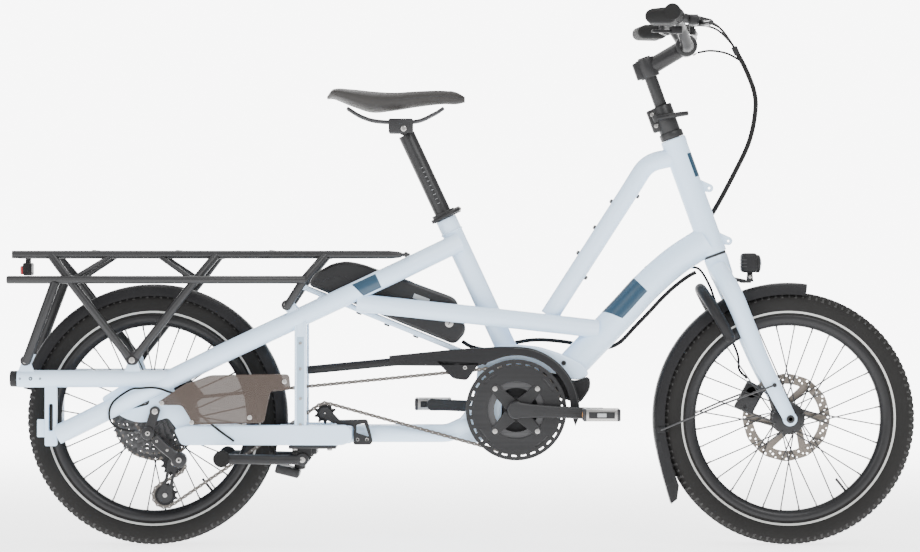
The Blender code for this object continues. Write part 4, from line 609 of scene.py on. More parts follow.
def side_tubes(made, side):
    """The upper stay, the beam, the rear tube and the low stay of one side."""
    upper = [
        (-0.008, 0.022, 0.617), (-0.13, 0.06, 0.558), (-0.34, 0.072, 0.46), (-0.5, 0.079, 0.385),
        (-0.822, STAY_Y, 0.226),
    ]
    beam = [(0.275, 0.018, 0.44), (0.11, 0.036, 0.4585), (0.015, 0.058, 0.469), (-0.215, 0.061, 0.494)]
    low = [(-0.26, 0.052, 0.227), (-0.215, 0.03, 0.227), (-0.03, 0.028, 0.227), (0.03, 0.028, 0.255)]
    made.add(tube(on_side(bent(upper, 0.25), side), 0.0195, 32), PAINT)
    made.add(tube(on_side(bent(beam, 0.2), side), 0.0185, 32), PAINT)
    rear = [(-0.903, STAY_Y, 0.34), (-0.902, STAY_Y, 0.34), (-0.8995, STAY_Y, 0.34), (-0.585, STAY_Y, 0.34)]
    made.add(tube(on_side(rear, side), [0.015, 0.0168, 0.0175, 0.0175], 32), PAINT)
    made.add(tube(on_side(bent(low, 0.06), side), 0.0175, 32), PAINT)


def stay_and_strut(made, side):
    """The deep box-section stay at the bottom, and the upright strut with its slot."""
    stay = [
        (-0.585, 0.238), (-0.555, 0.2465), (-0.235, 0.2465), (-0.225, 0.236), (-0.225, 0.216),
        (-0.24, 0.2055), (-0.57, 0.2055),
    ]
    made.add(sheet([rounded(stay, 0.008)], side * 0.0805, 0.02, 0.003), PAINT)
    made.add(box((-0.243, side * 0.06, 0.226), (0.036, 0.048, 0.034), edge=0.005), PAINT)
    made.add(box((-0.329, side * 0.0755, 0.338), (0.024, 0.0235, 0.24), edge=0.003), PAINT)
    for x in (-0.3385, -0.3195):
        made.add(box((x, side * 0.0855, 0.338), (0.005, 0.006, 0.238), edge=0.0015), PAINT)
    # Thin darker plate at the bottom of the slot: painted shade of the recess, not a paint of its own.
    made.add(box((-0.329, side * 0.0872, 0.33), (0.0145, 0.0008, 0.19), edge=0.0003), PAINTED_SHADE)
    for z in (0.247, 0.3, 0.36, 0.412):
        made.add(bolt((-0.329, side * 0.0876, z), (0, side, 0), 0.0032, 0.0022), STEEL)


def rear_plates(made, side):
    """The slotted tail bracket and the dropout plate."""
    bracket = [(-0.846, 0.204), (-0.822, 0.204), (-0.822, 0.328), (-0.846, 0.328)]
    slot = rounded([(-0.8385, 0.2345), (-0.8295, 0.2345), (-0.8295, 0.2895), (-0.8385, 0.2895)], 0.004)
    made.add(sheet([rounded(bracket, 0.004), slot], side * STAY_Y, 0.02, 0.0015), PAINT)
    made.add(box((-0.852, side * STAY_Y, 0.24), (0.02, 0.01, 0.036), edge=0.002), PAINT)
    plate = [
        (-0.735, 0.3), (-0.66, 0.345), (-0.6, 0.345), (-0.575, 0.3), (-0.552, 0.262), (-0.54, 0.215),
        (-0.562, 0.216), (-0.598, 0.262), (-0.614, 0.256), (-0.64, 0.252), (-0.662, 0.252),
        (-0.69, 0.262),
    ]
    window = arc((-0.667, 0.287), 0.007, 110, 290, 8) + arc((-0.643, 0.294), 0.008, -70, 110, 8)
    made.add(
        sheet(
            [rounded(plate, 0.012, 5), window, circle(REAR_AXLE.x, REAR_AXLE.z, 0.0063)],
            side * 0.0755, 0.0096, 0.0012,
        ),
        PAINT,
    )


def rack_lugs(made, side):
    """The lugs that carry the rack, and the end of the rear tube with its cap."""
    for x in (-0.669, -0.884):
        lug = arc((x, 0.377), 0.01, -20, 200, 12) + [(x - 0.018, 0.35), (x + 0.018, 0.35)]
        made.add(sheet([lug], side * 0.0835, 0.012, 0.001), PAINT)
    lug = arc((-0.357, 0.489), 0.01, 30, 240, 12) + [(-0.345, 0.462), (-0.325, 0.47)]
    made.add(sheet([lug], side * 0.076, 0.012, 0.001), PAINT)
    made.add(bead(at_side((-0.585, STAY_Y, 0.34), side), (1, 0, 0), 0.0165), PAINT)
    made.add(rod((-0.917, side * STAY_Y, 0.34), (-0.899, side * STAY_Y, 0.34), 0.0163, 28, 0.003), PLASTIC)
    for x, r in ((-0.8955, 0.0022), (-0.874, 0.0038), (-0.8547, 0.0022)):
        made.add(bolt((x, side * 0.0968, 0.3405), (0, side, 0), r, 0.0012), PLASTIC)


def frame_side(made, side):
    side_tubes(made, side)
    stay_and_strut(made, side)
    rear_plates(made, side)
    rack_lugs(made, side)


def motor_shell(made):
    outline = [
        (0.03, 0.396), (0.09, 0.41), (0.155, 0.404), (0.205, 0.388), (0.245, 0.368), (0.2585, 0.3465),
        (0.2285, 0.3345),
    ]
    outline += [
        (0.19, 0.35), (0.12, 0.356), (0.092, 0.335), (0.08, 0.3), (0.079, 0.262), (0.068, 0.225),
        (0.02, 0.205), (-0.012, 0.212), (-0.012, 0.25), (0.02, 0.29), (0.028, 0.34),
    ]
    made.add(sheet([rounded(outline, 0.014, 5)], 0.0, 0.076, 0.004), PAINT)
    for x, z in ((0.044, 0.372), (0.052, 0.236), (0.205, 0.371)):
        made.add(bolt((x, -0.038, z), (0, -1, 0), 0.005, 0.003), BLACK)


def main_frame():
    made = Shape()
    head = [(0.0165, 0.0045), (0.024, 0.0045), (0.0262, 0.006), (0.0262, 0.016), (HEAD_R, 0.019)]
    length = (HEAD_TOP - HEAD_BOTTOM).length
    head += [
        (HEAD_R, length - 0.016), (0.0262, length - 0.013), (0.0262, length - 0.002), (0.0245, length),
        (0.0165, length),
    ]
    made.add(lathe(HEAD_BOTTOM, HEAD_AXIS, head, 56, closed=True), PAINT)
    top = bent([(0.44, 0.0, 0.793), (0.376, 0.0, 0.779), (0.337, 0.0, 0.716), (0.176, 0.0, 0.466)], 0.06, 12)
    made.add(tube(top, 0.019, 36), PAINT)
    down = flowing(
        [
            (0.497, 0.0, 0.62), (0.433, 0.0, 0.578), (0.375, 0.0, 0.527), (0.324, 0.0, 0.472),
            (0.217, 0.0, 0.36),
        ],
        28,
    )
    made.add(tube(down, 0.031, 44), PAINT)
    low, high = SEAT_FOOT - 0.05 * SEAT_AXIS, SEAT_FOOT + 0.257 * SEAT_AXIS
    made.add(hollow(low, high, 0.0215, 0.0174, 44), PAINT)
    motor_shell(made)
    for x, z, y in (
        (-0.285, 0.497, 0.066), (-0.13, 0.227, 0.03), (-0.245, 0.226, 0.05), (0.0577, 0.4655, 0.044),
    ):
        made.add(rod((x, -y, z), (x, y, z), 0.012), PAINT)
    made.add(box((-0.1455, 0.0, 0.452), (0.392, 0.06, 0.011), pitch=math.radians(22.2), edge=0.003), PAINT)
    for x, z in ((-0.212, 0.4735), (-0.155, 0.45), (-0.096, 0.426)):
        made.add(bolt((x, 0.0, z), (-0.378, 0, -0.926), 0.006, 0.004), BLACK)
    for x, z in ((0.503, 0.7275), (0.542, 0.6195)):
        ear = arc((x, z), 0.0085, -110, 70, 10) + [(x - 0.028, z + 0.022), (x - 0.026, z - 0.004)]
        made.add(sheet([ear, circle(x, z, 0.0025, 14)], 0.0, 0.006, 0.0008), PAINT)
    for side in (-1, 1):
        frame_side(made, side)
    made.add(bead(SEAT_FOOT + 0.228 * SEAT_AXIS, SEAT_AXIS, 0.0214), PAINT)
    made.add(bead(Vector((0.455, 0, 0.7965)), Vector((0.97, 0, 0.22)), 0.019), PAINT)
    return made


def decals(made):
    """Plain slanted blocks of blue, without lettering."""
    down = flowing(
        [
            (0.497, 0.0, 0.62), (0.433, 0.0, 0.578), (0.375, 0.0, 0.527), (0.324, 0.0, 0.472),
            (0.217, 0.0, 0.36),
        ],
        112,
    )
    patch(made, [p for p in down if 0.302 < p.x < 0.372], 0.031, -84, 14, 0.02)
    stay = [
        Vector((-0.172, 0.0624, 0.5384)).lerp(Vector((-0.2195, 0.0652, 0.5162)), k / 8)
        for k in range(9)
    ]
    patch(made, stay, 0.0195, -50, 50, 0.012)
    badge = [HEAD_TOP.lerp(HEAD_BOTTOM, 0.15 + 0.2 * k / 6) for k in range(7)]
    patch(made, badge, 0.0255, 38, 88, 0.0)


def patch(made, path, radius, first, last, slope):
    """A thin blue skin just proud of both flanks of a tube, between two angles, with a slanted far end."""
    rows = len(path) - 1
    for side in (-1, 1):
        points = []
        for row, here in enumerate(path):
            ahead = (path[min(row + 1, rows)] - path[max(row - 1, 0)]).normalized()
            out = Vector((0, 1, 0))
            out = (out - out.dot(ahead) * ahead).normalized()
            over = ahead.cross(out)
            for step in range(15):
                turn = math.radians(first + (last - first) * step / 14)
                spot = here - slope * step / 14 * row / rows * ahead
                point = spot + (radius + 0.00025) * (math.cos(turn) * out + math.sin(turn) * over)
                points.append(at_side(point, side))
        faces = [
            (r * 15 + s, r * 15 + s + 1, r * 15 + s + 16, r * 15 + s + 15)
            for r in range(rows) for s in range(14)
        ]
        made.add((points, faces), DECAL)


def bosses(made):
    """Threaded studs for a carrier, along the top tube and the down tube."""
    for x, z, out in (
        (0.304, 0.7, (-0.841, 0, 0.541)), (0.27, 0.647, (-0.841, 0, 0.541)),
        (0.236, 0.595, (-0.841, 0, 0.541)),
        (0.356, 0.711, (0.841, 0, -0.541)), (0.25, 0.545, (0.841, 0, -0.541)),
        (0.3751, 0.564, (-0.68, 0, 0.73)), (0.3314, 0.5174, (-0.7, 0, 0.71)),
    ):
        spot, out = Vector((x, 0, z)), Vector(out)
        made.add(rod(spot - 0.006 * out, spot + 0.0034 * out, 0.0044, 20), DARK_STEEL)
        made.add(bolt(spot + 0.0032 * out, out, 0.0034, 0.0014), STEEL)


body_frame = main_frame()
decals(body_frame)
bosses(body_frame)
body_frame.place("frame_tubes", "root", ["main_frame"], "frame_paint")


# Rack and mudguards


def weld(made, spot, axis, radius, finish=None):
    made.add(bead(Vector(spot), Vector(axis), radius, 0.0013, 26), finish or SATIN)


def rack_side(made, side):
    nose = [(-0.914, 0.07, 0.5915), (-0.15, 0.07, 0.5915), (-0.132, 0.07, 0.5915), (-0.126, 0.07, 0.5915)]
    made.add(tube(on_side(nose, side), [0.008, 0.008, 0.0065, 0.005], 20), SATIN)
    low = [
        (-0.9214, 0.108, 0.5405), (-0.919, 0.108, 0.5405), (-0.32, 0.108, 0.5405),
        (-0.318, 0.108, 0.5405),
    ]
    made.add(tube(on_side(low, side), [0.0062, 0.008, 0.008, 0.0066], 20), SATIN)
    made.add(
        rod(at_side((-0.8835, 0.0997, 0.372), side), at_side((-0.823, 0.108, 0.536), side), 0.0095, 24),
        SATIN,
    )
    rear = [(-0.676, 0.0975, 0.385), (-0.795, 0.104, 0.54), (-0.835, 0.07, 0.59)]
    front = [(-0.662, 0.0975, 0.385), (-0.54, 0.104, 0.54), (-0.5, 0.07, 0.59)]
    strut = [(-0.3575, 0.0925, 0.484), (-0.321, 0.104, 0.5405), (-0.279, 0.07, 0.59)]
    for path in (rear, front, strut):
        made.add(tube(on_side(bent(path, 0.035, 7), side), 0.0085, 22), SATIN)
        end = at_side(path[2], side)
        weld(made, end - Vector((0, 0, 0.006)), (0, 0, 1), 0.0088)
    for start, end in (
        ((-0.786, 0.108, 0.543), (-0.713, 0.07, 0.589)), ((-0.549, 0.108, 0.543), (-0.616, 0.07, 0.589)),
    ):
        made.add(rod(at_side(start, side), at_side(end, side), 0.005, 16), SATIN)
    gusset = [(-0.694, 0.395), (-0.644, 0.395), (-0.661, 0.368), (-0.677, 0.368)]
    made.add(sheet([rounded(gusset, 0.005)], side * 0.0945, 0.0095, 0.001), SATIN)
    for x, z, y0, y1 in ((-0.884, 0.377, 0.0902, 0.1025), (-0.357, 0.489, 0.0832, 0.0955)):
        made.add(rod((x, side * y0, z), (x, side * y1, z), 0.0105, 28), SATIN)
        made.add(bolt((x, side * (y1 - 0.0008), z), (0, side, 0), 0.0062, 0.004), STEEL)
    made.add(bolt((-0.669, side * 0.099, 0.378), (0, side, 0), 0.0062, 0.003), STEEL)
    made.add(rod((-0.128, side * 0.07, 0.5915), (-0.109, side * 0.07, 0.5915), 0.0032, 16), BLACK)
    made.add(rod((-0.116, side * 0.07, 0.586), (-0.116, side * 0.07, 0.597), 0.0026, 14), BLACK)


def rear_rack():
    made = Shape()
    for side in (-1, 1):
        rack_side(made, side)
    for x in (-0.895, -0.835, -0.667, -0.5, -0.279):
        made.add(rod((x, -0.07, 0.5915), (x, 0.07, 0.5915), 0.0065, 20), SATIN)
        for side in (-1, 1):
            weld(made, (x, side * 0.0618, 0.5915), Y, 0.0066)
    for x in (-0.905, -0.4):
        made.add(rod((x, -0.108, 0.5405), (x, 0.108, 0.5405), 0.0065, 20), SATIN)
        for side in (-1, 1):
            weld(made, (x, side * 0.0998, 0.5405), Y, 0.0066)
    for x in (-0.75, -0.58, -0.39):
        made.add(box((x, 0.0, 0.5965), (0.022, 0.144, 0.006), edge=0.0018), SATIN)
        for side in (-1, 1):
            made.add(bolt((x, side * 0.045, 0.5992), (0, 0, 1), 0.0042, 0.0018), BLACK)
    made.place("rack_tubes", "root", ["rear_rack"], "black_metal")


rear_rack()


def tail_light():
    made = Shape()
    made.add(box((-0.888, 0.0, 0.562), (0.018, 0.06, 0.026), edge=0.004), PLASTIC)
    made.add(box((-0.8985, 0.0, 0.56), (0.008, 0.052, 0.0178), edge=0.0032), RED)
    for k in range(-3, 4):
        made.add(rod((-0.9027, k * 0.0065, 0.56), (-0.9012, k * 0.0065, 0.56), 0.0019, 10), RED)
    for side in (-1, 1):
        made.add(rod((-0.888, side * 0.018, 0.574), (-0.888, side * 0.018, 0.5845), 0.004, 16), PLASTIC)
    made.place("tail_light_body", "root", ["tail_light"], "black_plastic")


tail_light()


def fender_shell(made, centre, radius, start, end, steps=96):
    """A thin curved guard with rolled lips, swept round the axle."""
    half = [
        (radius - 0.0235, 0.031), (radius - 0.0242, 0.0318), (radius - 0.0225, 0.0318),
        (radius - 0.0085, 0.0308), (radius - 0.0035, 0.027), (radius - 0.0008, 0.018), (radius, 0.0095),
        (radius, 0.0),
    ]
    back = [
        (radius - 0.0018, 0.0), (radius - 0.0018, 0.009), (radius - 0.0026, 0.0172),
        (radius - 0.005, 0.0256), (radius - 0.0095, 0.029),
    ]
    profile = half + [(r, -y) for r, y in reversed(half[:-1])]
    profile += [(r, -y) for r, y in reversed(back[1:])] + back
    points, faces = [], []
    for step in range(steps + 1):
        turn = math.radians(start + (end - start) * step / steps)
        for r, y in profile:
            points.append(Vector((centre.x + r * math.cos(turn), y, centre.z + r * math.sin(turn))))
    count = len(profile)
    faces = ring_faces(steps + 1, count)
    faces += [tuple(range(count)), tuple(steps * count + k for k in range(count))[::-1]]
    made.add((points, faces), PLASTIC)


def rear_fender():
    made = Shape()
    fender_shell(made, REAR_AXLE, 0.2735, -2.5, 167)
    for turn in (96, 132):
        out = ray(math.radians(turn))
        for side in (-1, 1):
            made.add(
                bolt(REAR_AXLE + 0.2722 * out + Vector((0, side * 0.008, 0)), out, 0.0034, 0.0013),
                STEEL,
            )
    made.place("rear_mudguard", "root", ["rear_fender"], "black_plastic")


def front_fender():
    made = Shape()
    fender_shell(made, FRONT_AXLE, 0.2765, 82, 198)
    outer = [(0.3925, 0.2115), (0.398, 0.18), (0.408, 0.14), (0.4242, 0.084)]
    inner = [(0.4362, 0.0935), (0.44, 0.1217), (0.4265, 0.16), (0.4134, 0.2115)]
    for side in (-1, 1):
        made.add(sheet([outer + inner], side * 0.03, 0.002, 0.0004), PLASTIC)
    made.add(sheet([outer + [(x + 0.002, z + 0.0005) for x, z in reversed(outer)]], 0.0, 0.06), PLASTIC)
    for side in (-1, 1):
        wire = [(0.631, 0.08, 0.327), (0.525, 0.062, 0.287), (0.402, 0.033, 0.2335)]
        made.add(tube(on_side(bent(wire, 0.04, 6), side), 0.002, 12), DARK_STEEL)
        made.add(
            rod(at_side((0.631, 0.0745, 0.327), side), at_side((0.631, 0.0838, 0.327), side), 0.0045, 18),
            BLACK,
        )
        made.add(box(at_side((0.404, 0.0325, 0.2345), side), (0.016, 0.005, 0.012), edge=0.0015), PLASTIC)
    made.add(box((0.5365, 0.0, 0.517), (0.014, 0.03, 0.026), edge=0.003), BLACK)
    made.place("front_mudguard", "fork_assembly", ["front_fender"], "black_plastic")


rear_fender()
front_fender()


# Fork and lamp


def fork():
    made = Shape()
    crown_at = HEAD_BOTTOM - 0.003 * HEAD_AXIS
    made.add(rod(HEAD_BOTTOM - 0.02 * HEAD_AXIS, above_head(0.04), 0.0143, 32), STEEL)
    crown = [
        (0.015, -0.046), (0.0205, -0.045), (0.0228, -0.04), (0.0243, -0.012), (0.0246, -0.001),
        (0.0232, 0.0024), (0.015, 0.0025),
    ]
    made.add(lathe(crown_at, HEAD_AXIS, crown, 48), PAINT)
    made.add(
        rod(HEAD_BOTTOM - 0.0006 * HEAD_AXIS, HEAD_BOTTOM + 0.0044 * HEAD_AXIS, 0.0236, 44, 0.0006),
        BLACK,
    )
    path = [
        (0.5195, 0.02, 0.564), (0.54, 0.048, 0.527), (0.5543, 0.056, 0.4964), (0.5804, 0.057, 0.433),
        (0.6074, 0.057, 0.37), (0.638, 0.06, 0.308), (0.6605, 0.063, 0.264),
    ]
    sizes = [0.95, 1, 1, 0.95, 0.88, 0.78, 0.7]
    for side in (-1, 1):
        smooth = flowing(on_side(path, side), 37)
        radii = []
        for index in range(37):
            spot = index / 36 * 6
            low = min(5, int(spot))
            radii.append(0.0198 * (sizes[low] + (sizes[low + 1] - sizes[low]) * (spot - low)))
        made.add(tube(smooth, radii, 32), PAINT)
        tip = [
            (0.008, 0.0492), (0.013, 0.0492), (0.0145, 0.0507), (0.0145, 0.065), (0.013, 0.0665),
            (0.008, 0.0665),
        ]
        made.add(lathe(FRONT_AXLE, (0, side, 0), tip, 36), PAINT)
        made.add(
            rod(at_side((0.6272, 0.06, 0.327), side), at_side((0.6272, 0.0775, 0.327), side), 0.0048, 16),
            PAINT,
        )
    made.place("fork_blades", "fork_assembly", ["fork"], "frame_paint")


def axle_pin(name, body, node, centre, start, end, heads):
    made = Shape().add(rod(centre + Vector((0, start, 0)), centre + Vector((0, end, 0)), 0.006, 28), STEEL)
    for y, direction in heads:
        head = [
            (0.004, -0.001), (0.008, -0.001), (0.0085, 0.0005), (0.0085, 0.003), (0.007, 0.004),
            (0.004, 0.004), (0.0036, 0.0015),
        ]
        made.add(lathe(centre + Vector((0, y, 0)), (0, direction, 0), head, 30), BLACK)
    made.place(name, body, [node], "steel")


def caliper(name, body, node, spot, lean):
    """A two-piece brake caliper with its bolts, hose banjo and pad window."""
    made = Shape()
    turn = Matrix.Translation(spot) @ Matrix.Rotation(math.radians(lean), 4, "Y")
    pieces = [
        (box((0, 0.0082, 0.0), (0.04, 0.0096, 0.062), edge=0.0035), SATIN),
        (box((0, -0.0082, 0.0), (0.04, 0.0096, 0.062), edge=0.0035), SATIN),
        (box((0.015, 0, 0.0), (0.0092, 0.018, 0.058), edge=0.002), SATIN),
        (rod((-0.002, -0.0118, 0.012), (-0.002, -0.013, 0.012), 0.0115, 32), BLACK),
        (rod((-0.002, 0.0118, 0.012), (-0.002, 0.013, 0.012), 0.0115, 32), BLACK),
        (bolt((0.0, -0.0128, -0.021), (0, -1, 0), 0.0038, 0.0002), STEEL),
        (box((-0.006, 0.0022, 0.004), (0.024, 0.0012, 0.03), edge=0.0004), STEEL),
        (box((-0.006, -0.0022, 0.004), (0.024, 0.0012, 0.03), edge=0.0004), STEEL),
    ]
    for (points, faces), finish in pieces:
        made.add(([turn @ Vector(point) for point in points], faces), finish)
    made.place(name, body, [node], "black_metal")


def headlight():
    made = Shape()
    made.add(box((0.584, 0.0, 0.575), (0.0335, 0.046, 0.04), edge=0.0075, segments=4), PLASTIC)
    made.add(
        lathe(
            (0.597, 0, 0.573), (1, 0, 0),
            [(0.0175, 0), (0.0185, 0.002), (0.018, 0.008), (0.0165, 0.0095), (0.015, 0.009)],
            40,
        ),
        PLASTIC,
    )
    made.add(
        lathe(
            (0.604, 0, 0.573), (1, 0, 0),
            [(0.015, 0), (0.015, 0.003), (0.011, 0.0052), (0.005, 0.006), (0.001, 0.006)],
            40,
        ),
        GLASS,
    )
    for z in (0.567, 0.574, 0.581):
        made.add(box((0.5725, 0.0, z), (0.0125, 0.0465, 0.0016), edge=0.0006), BLACK)
    made.add(box((0.586, 0.0, 0.551), (0.0118, 0.0103, 0.016), edge=0.002), PLASTIC)
    made.place("lamp_body", "lamp", ["headlight"], "black_plastic")


def headlight_bracket():
    made = Shape()
    made.add(box((0.5645, 0.0, 0.5395), (0.026, 0.0158, 0.008), pitch=math.radians(12), edge=0.0015), BLACK)
    made.add(box((0.5775, 0.0, 0.5365), (0.022, 0.018, 0.0058), edge=0.0015), BLACK)
    for side in (-1, 1):
        cheek = arc((0.586, 0.546), 0.0062, -20, 200, 12) + [(0.5785, 0.5365), (0.5935, 0.5365)]
        made.add(sheet([cheek], side * 0.0075, 0.0034, 0.0005), BLACK)
        made.add(bolt((0.586, side * 0.009, 0.546), (0, side, 0), 0.0034, 0.0014), STEEL)
    made.place("lamp_bracket", "fork_assembly", ["headlight_bracket"], "black_metal")


fork()
axle_pin(
    "front_axle_pin", "fork_assembly", "front_axle", FRONT_AXLE, -0.079, 0.079,
    [(-0.0775, -1), (0.0775, 1)],
)
axle_pin("rear_axle_pin", "root", "rear_axle", REAR_AXLE, -0.0808, 0.079, [(0.0778, 1)])
caliper("front_brake_caliper", "fork_assembly", "front_caliper", Vector((0.588, 0.0385, 0.298)), 28)
caliper("rear_brake_caliper", "root", "rear_caliper", Vector((-0.5655, 0.048, 0.3126)), -40)
headlight()
headlight_bracket()


# Drive


def sprocket(teeth, centre, thickness, bore, windows=0, high=0.0036):
    """The outline of a toothed wheel with its valleys between roller seats, and cut-outs."""
    pitch_radius = PITCH / (2 * math.sin(math.pi / teeth))
    outline = []
    for tooth in range(teeth):
        for part, reach in (
            (0.0, -0.0038), (0.18, -0.003), (0.36, 0.0012), (0.45, high - 0.0006), (0.5, high),
            (0.55, high - 0.0006), (0.64, 0.0012), (0.82, -0.003),
        ):
            turn = math.tau * (tooth + part) / teeth
            radius = pitch_radius + reach
            outline.append((centre[0] + radius * math.cos(turn), centre[1] + radius * math.sin(turn)))
    holes = [circle(centre[0], centre[1], bore, 32)]
    for index in range(windows):
        start = 360 * index / windows
        inner, outer = bore + 0.005, pitch_radius - 0.01
        if outer - inner > 0.006:
            window = arc(centre, outer, start + 7, start + 360 / windows - 7, 8) + arc(
                centre, inner, start + 360 / windows - 12, start + 12, 6,
            )
            holes.append(rounded(window, 0.003, 2))
    return [outline] + holes


def motor():
    outline = arc((0.112, 0.276), 0.078, -100, 20, 26)
    outline += [
        (0.238, 0.288), (0.2595, 0.318), (0.259, 0.344), (0.2288, 0.3325), (0.19, 0.3485),
        (0.1215, 0.3545), (0.0935, 0.334), (0.0815, 0.3), (0.0805, 0.262), (0.072, 0.228),
    ]
    made = Shape()
    smooth = rounded(outline, 0.01, 3)
    made.add(sheet([smooth], 0.0065, 0.0885, 0.005), PLASTIC)
    nose = [(0.012, -0.003), (0.0245, -0.003), (0.026, -0.0015), (0.026, 0.006), (0.012, 0.006)]
    made.add(lathe((CRANK.x, -0.0385, CRANK.z), Y, nose, 44), BLACK)
    cover = [
        (0.01, -0.002), (0.056, -0.002), (0.0585, 0.0), (0.0585, 0.0012), (0.056, 0.003),
        (0.033, 0.0036), (0.032, 0.0025), (0.02, 0.0025),
    ]
    made.add(lathe((0.118, 0.0482, 0.28), Y, cover, 64), SATIN)
    for index in range(6):
        turn = math.radians(60 * index + 20)
        made.add(
            bolt((0.118 + 0.066 * math.cos(turn), 0.0508, 0.28 + 0.066 * math.sin(turn)), Y, 0.0036, 0.0001),
            STEEL,
        )
    made.place("motor_shell", "root", ["drive_motor"], "black_plastic")


def battery():
    outline = [
        (-0.316, 0.5295), (-0.303, 0.553), (-0.266, 0.574), (-0.237, 0.579), (-0.205, 0.573),
        (-0.014, 0.503), (0.008, 0.436), (-0.016, 0.4075),
    ]
    made = Shape()
    made.add(sheet([rounded(outline, 0.014, 5)], 0.0, 0.0768, 0.006), SATIN)
    along = Vector((0.191, 0, -0.07)).normalized()
    for side in (-1, 1):
        seam = [
            Vector((-0.3, side * 0.0384, 0.5335)), Vector((-0.265, side * 0.0384, 0.5445)),
            Vector((-0.23, side * 0.0384, 0.542)), Vector((-0.005, side * 0.0384, 0.456)),
        ]
        made.add(tube(flowing(seam, 24), 0.0009, 8), BLACK)
        made.add(rod((-0.028, side * 0.0375, 0.452), (-0.028, side * 0.0392, 0.452), 0.0085, 28), STEEL)
        made.add(
            box((-0.028, side * 0.0392, 0.452), (0.0016, 0.0008, 0.0075), pitch=0.4, edge=0.0002),
            BLACK,
        )
        made.add(
            box((-0.085, side * 0.0385, 0.502), (0.034, 0.001, 0.01), pitch=math.radians(20.5), edge=0.0004),
            LABEL,
        )
    made.add(box((-0.13, 0, 0.5432), (0.06, 0.03, 0.006), pitch=math.radians(20.1), edge=0.0025), PLASTIC)
    made.place("battery_case", "root", ["battery"], "black_plastic")


def chainring():
    made = Shape()
    made.add(sheet(sprocket(44, CRANK_HUB, 0.004, 0.045), CHAIN_Y, 0.0024), DARK_STEEL)
    guard = []
    for index in range(30):
        start = 12 * index
        guard.append(
            arc(CRANK_HUB, 0.0948, start, start + 6.5, 3) + arc(CRANK_HUB, 0.0908, start + 6.5, start, 3)
        )
    for index in range(4):
        start = 90 * index + 28
        window = arc(CRANK_HUB, 0.085, start, start + 22, 6) + arc(CRANK_HUB, 0.0818, start + 22, start, 6)
        guard.append(rounded(window, 0.0012, 2))
    made.add(
        sheet(
            [circle(*CRANK_HUB, 0.1026, 120)] + guard + [circle(*CRANK_HUB, 0.058, 72)],
            -0.058, 0.003, 0.0006,
        ),
        SATIN,
    )
    for index in range(4):
        turn = math.radians(45 + 90 * index)
        out = ray(turn)
        over = square_to(out)
        corners = [
            CRANK + 0.016 * out + 0.014 * over, CRANK + 0.06 * out + 0.0095 * over,
            CRANK + 0.0665 * out + 0.007 * over,
        ]
        corners += [
            CRANK + 0.0665 * out - 0.007 * over, CRANK + 0.06 * out - 0.0095 * over,
            CRANK + 0.016 * out - 0.014 * over,
        ]
        made.add(sheet([rounded(flat(corners), 0.004, 3)], -0.058, 0.0068, 0.001), SATIN)
        spot = CRANK + 0.061 * out
        made.add(bolt((spot.x, -0.0612, spot.z), (0, -1, 0), 0.005, 0.001), STEEL)
        made.add(rod((spot.x, -0.06, spot.z), (spot.x, -0.05, spot.z), 0.0048, 18), BLACK)
    made.add(
        lathe(
            (CRANK.x, -0.0617, CRANK.z), Y,
            [(0.0115, 0), (0.0175, 0), (0.0185, 0.001), (0.0185, 0.011), (0.0115, 0.011)],
            36, closed=True,
        ),
        BLACK,
    )
    made.place("chainring_and_guard", "crank", ["chainring"], "black_metal")


def crank_arm(name, node, side, eye):
    made = Shape()
    hub, tip = Vector((CRANK.x, 0, CRANK.z)), Vector(eye)
    ahead = (tip - hub).normalized()
    over = square_to(ahead)
    outline = []
    facing = math.degrees(math.atan2(ahead.z, ahead.x))
    outline += arc((hub.x, hub.z), 0.0182, facing + 62, facing + 298, 22)
    low = [
        hub + ahead * 0.03 - over * 0.0138, hub + ahead * 0.08 - over * 0.0118,
        tip - ahead * 0.022 - over * 0.0118,
    ]
    outline += flat(low)
    outline += arc((tip.x, tip.z), 0.0133, facing - 75, facing + 75, 14)
    high = [
        tip - ahead * 0.022 + over * 0.0118, hub + ahead * 0.08 + over * 0.0118,
        hub + ahead * 0.03 + over * 0.0138,
    ]
    outline += flat(high)
    made.add(sheet([outline], side * 0.081, 0.0138, 0.003), SATIN)
    groove = [
        hub + ahead * 0.035 + over * 0.004, hub + ahead * 0.14 + over * 0.003,
        hub + ahead * 0.14 - over * 0.003, hub + ahead * 0.035 - over * 0.004,
    ]
    made.add(sheet([rounded(flat(groove), 0.003, 3)], side * 0.0876, 0.0008, 0.0002), BLACK)
    made.add(
        lathe(
            (hub.x, side * 0.0865, hub.z), (0, side, 0),
            [(0.011, -0.001), (0.011, 0.0008), (0.0098, 0.0013), (0.0062, 0.0013), (0.0052, -0.0005)],
            32,
        ),
        BLACK,
    )
    inner = (0.0455, 0.0765) if side > 0 else (0.058, 0.0765)
    made.add(rod((hub.x, side * inner[0], hub.z), (hub.x, side * inner[1], hub.z), 0.01, 28), STEEL)
    made.add(rod((tip.x, side * 0.0745, tip.z), (tip.x, side * 0.088, tip.z), 0.0092, 28), BLACK)
    made.place(name, "crank", [node], "black_metal")


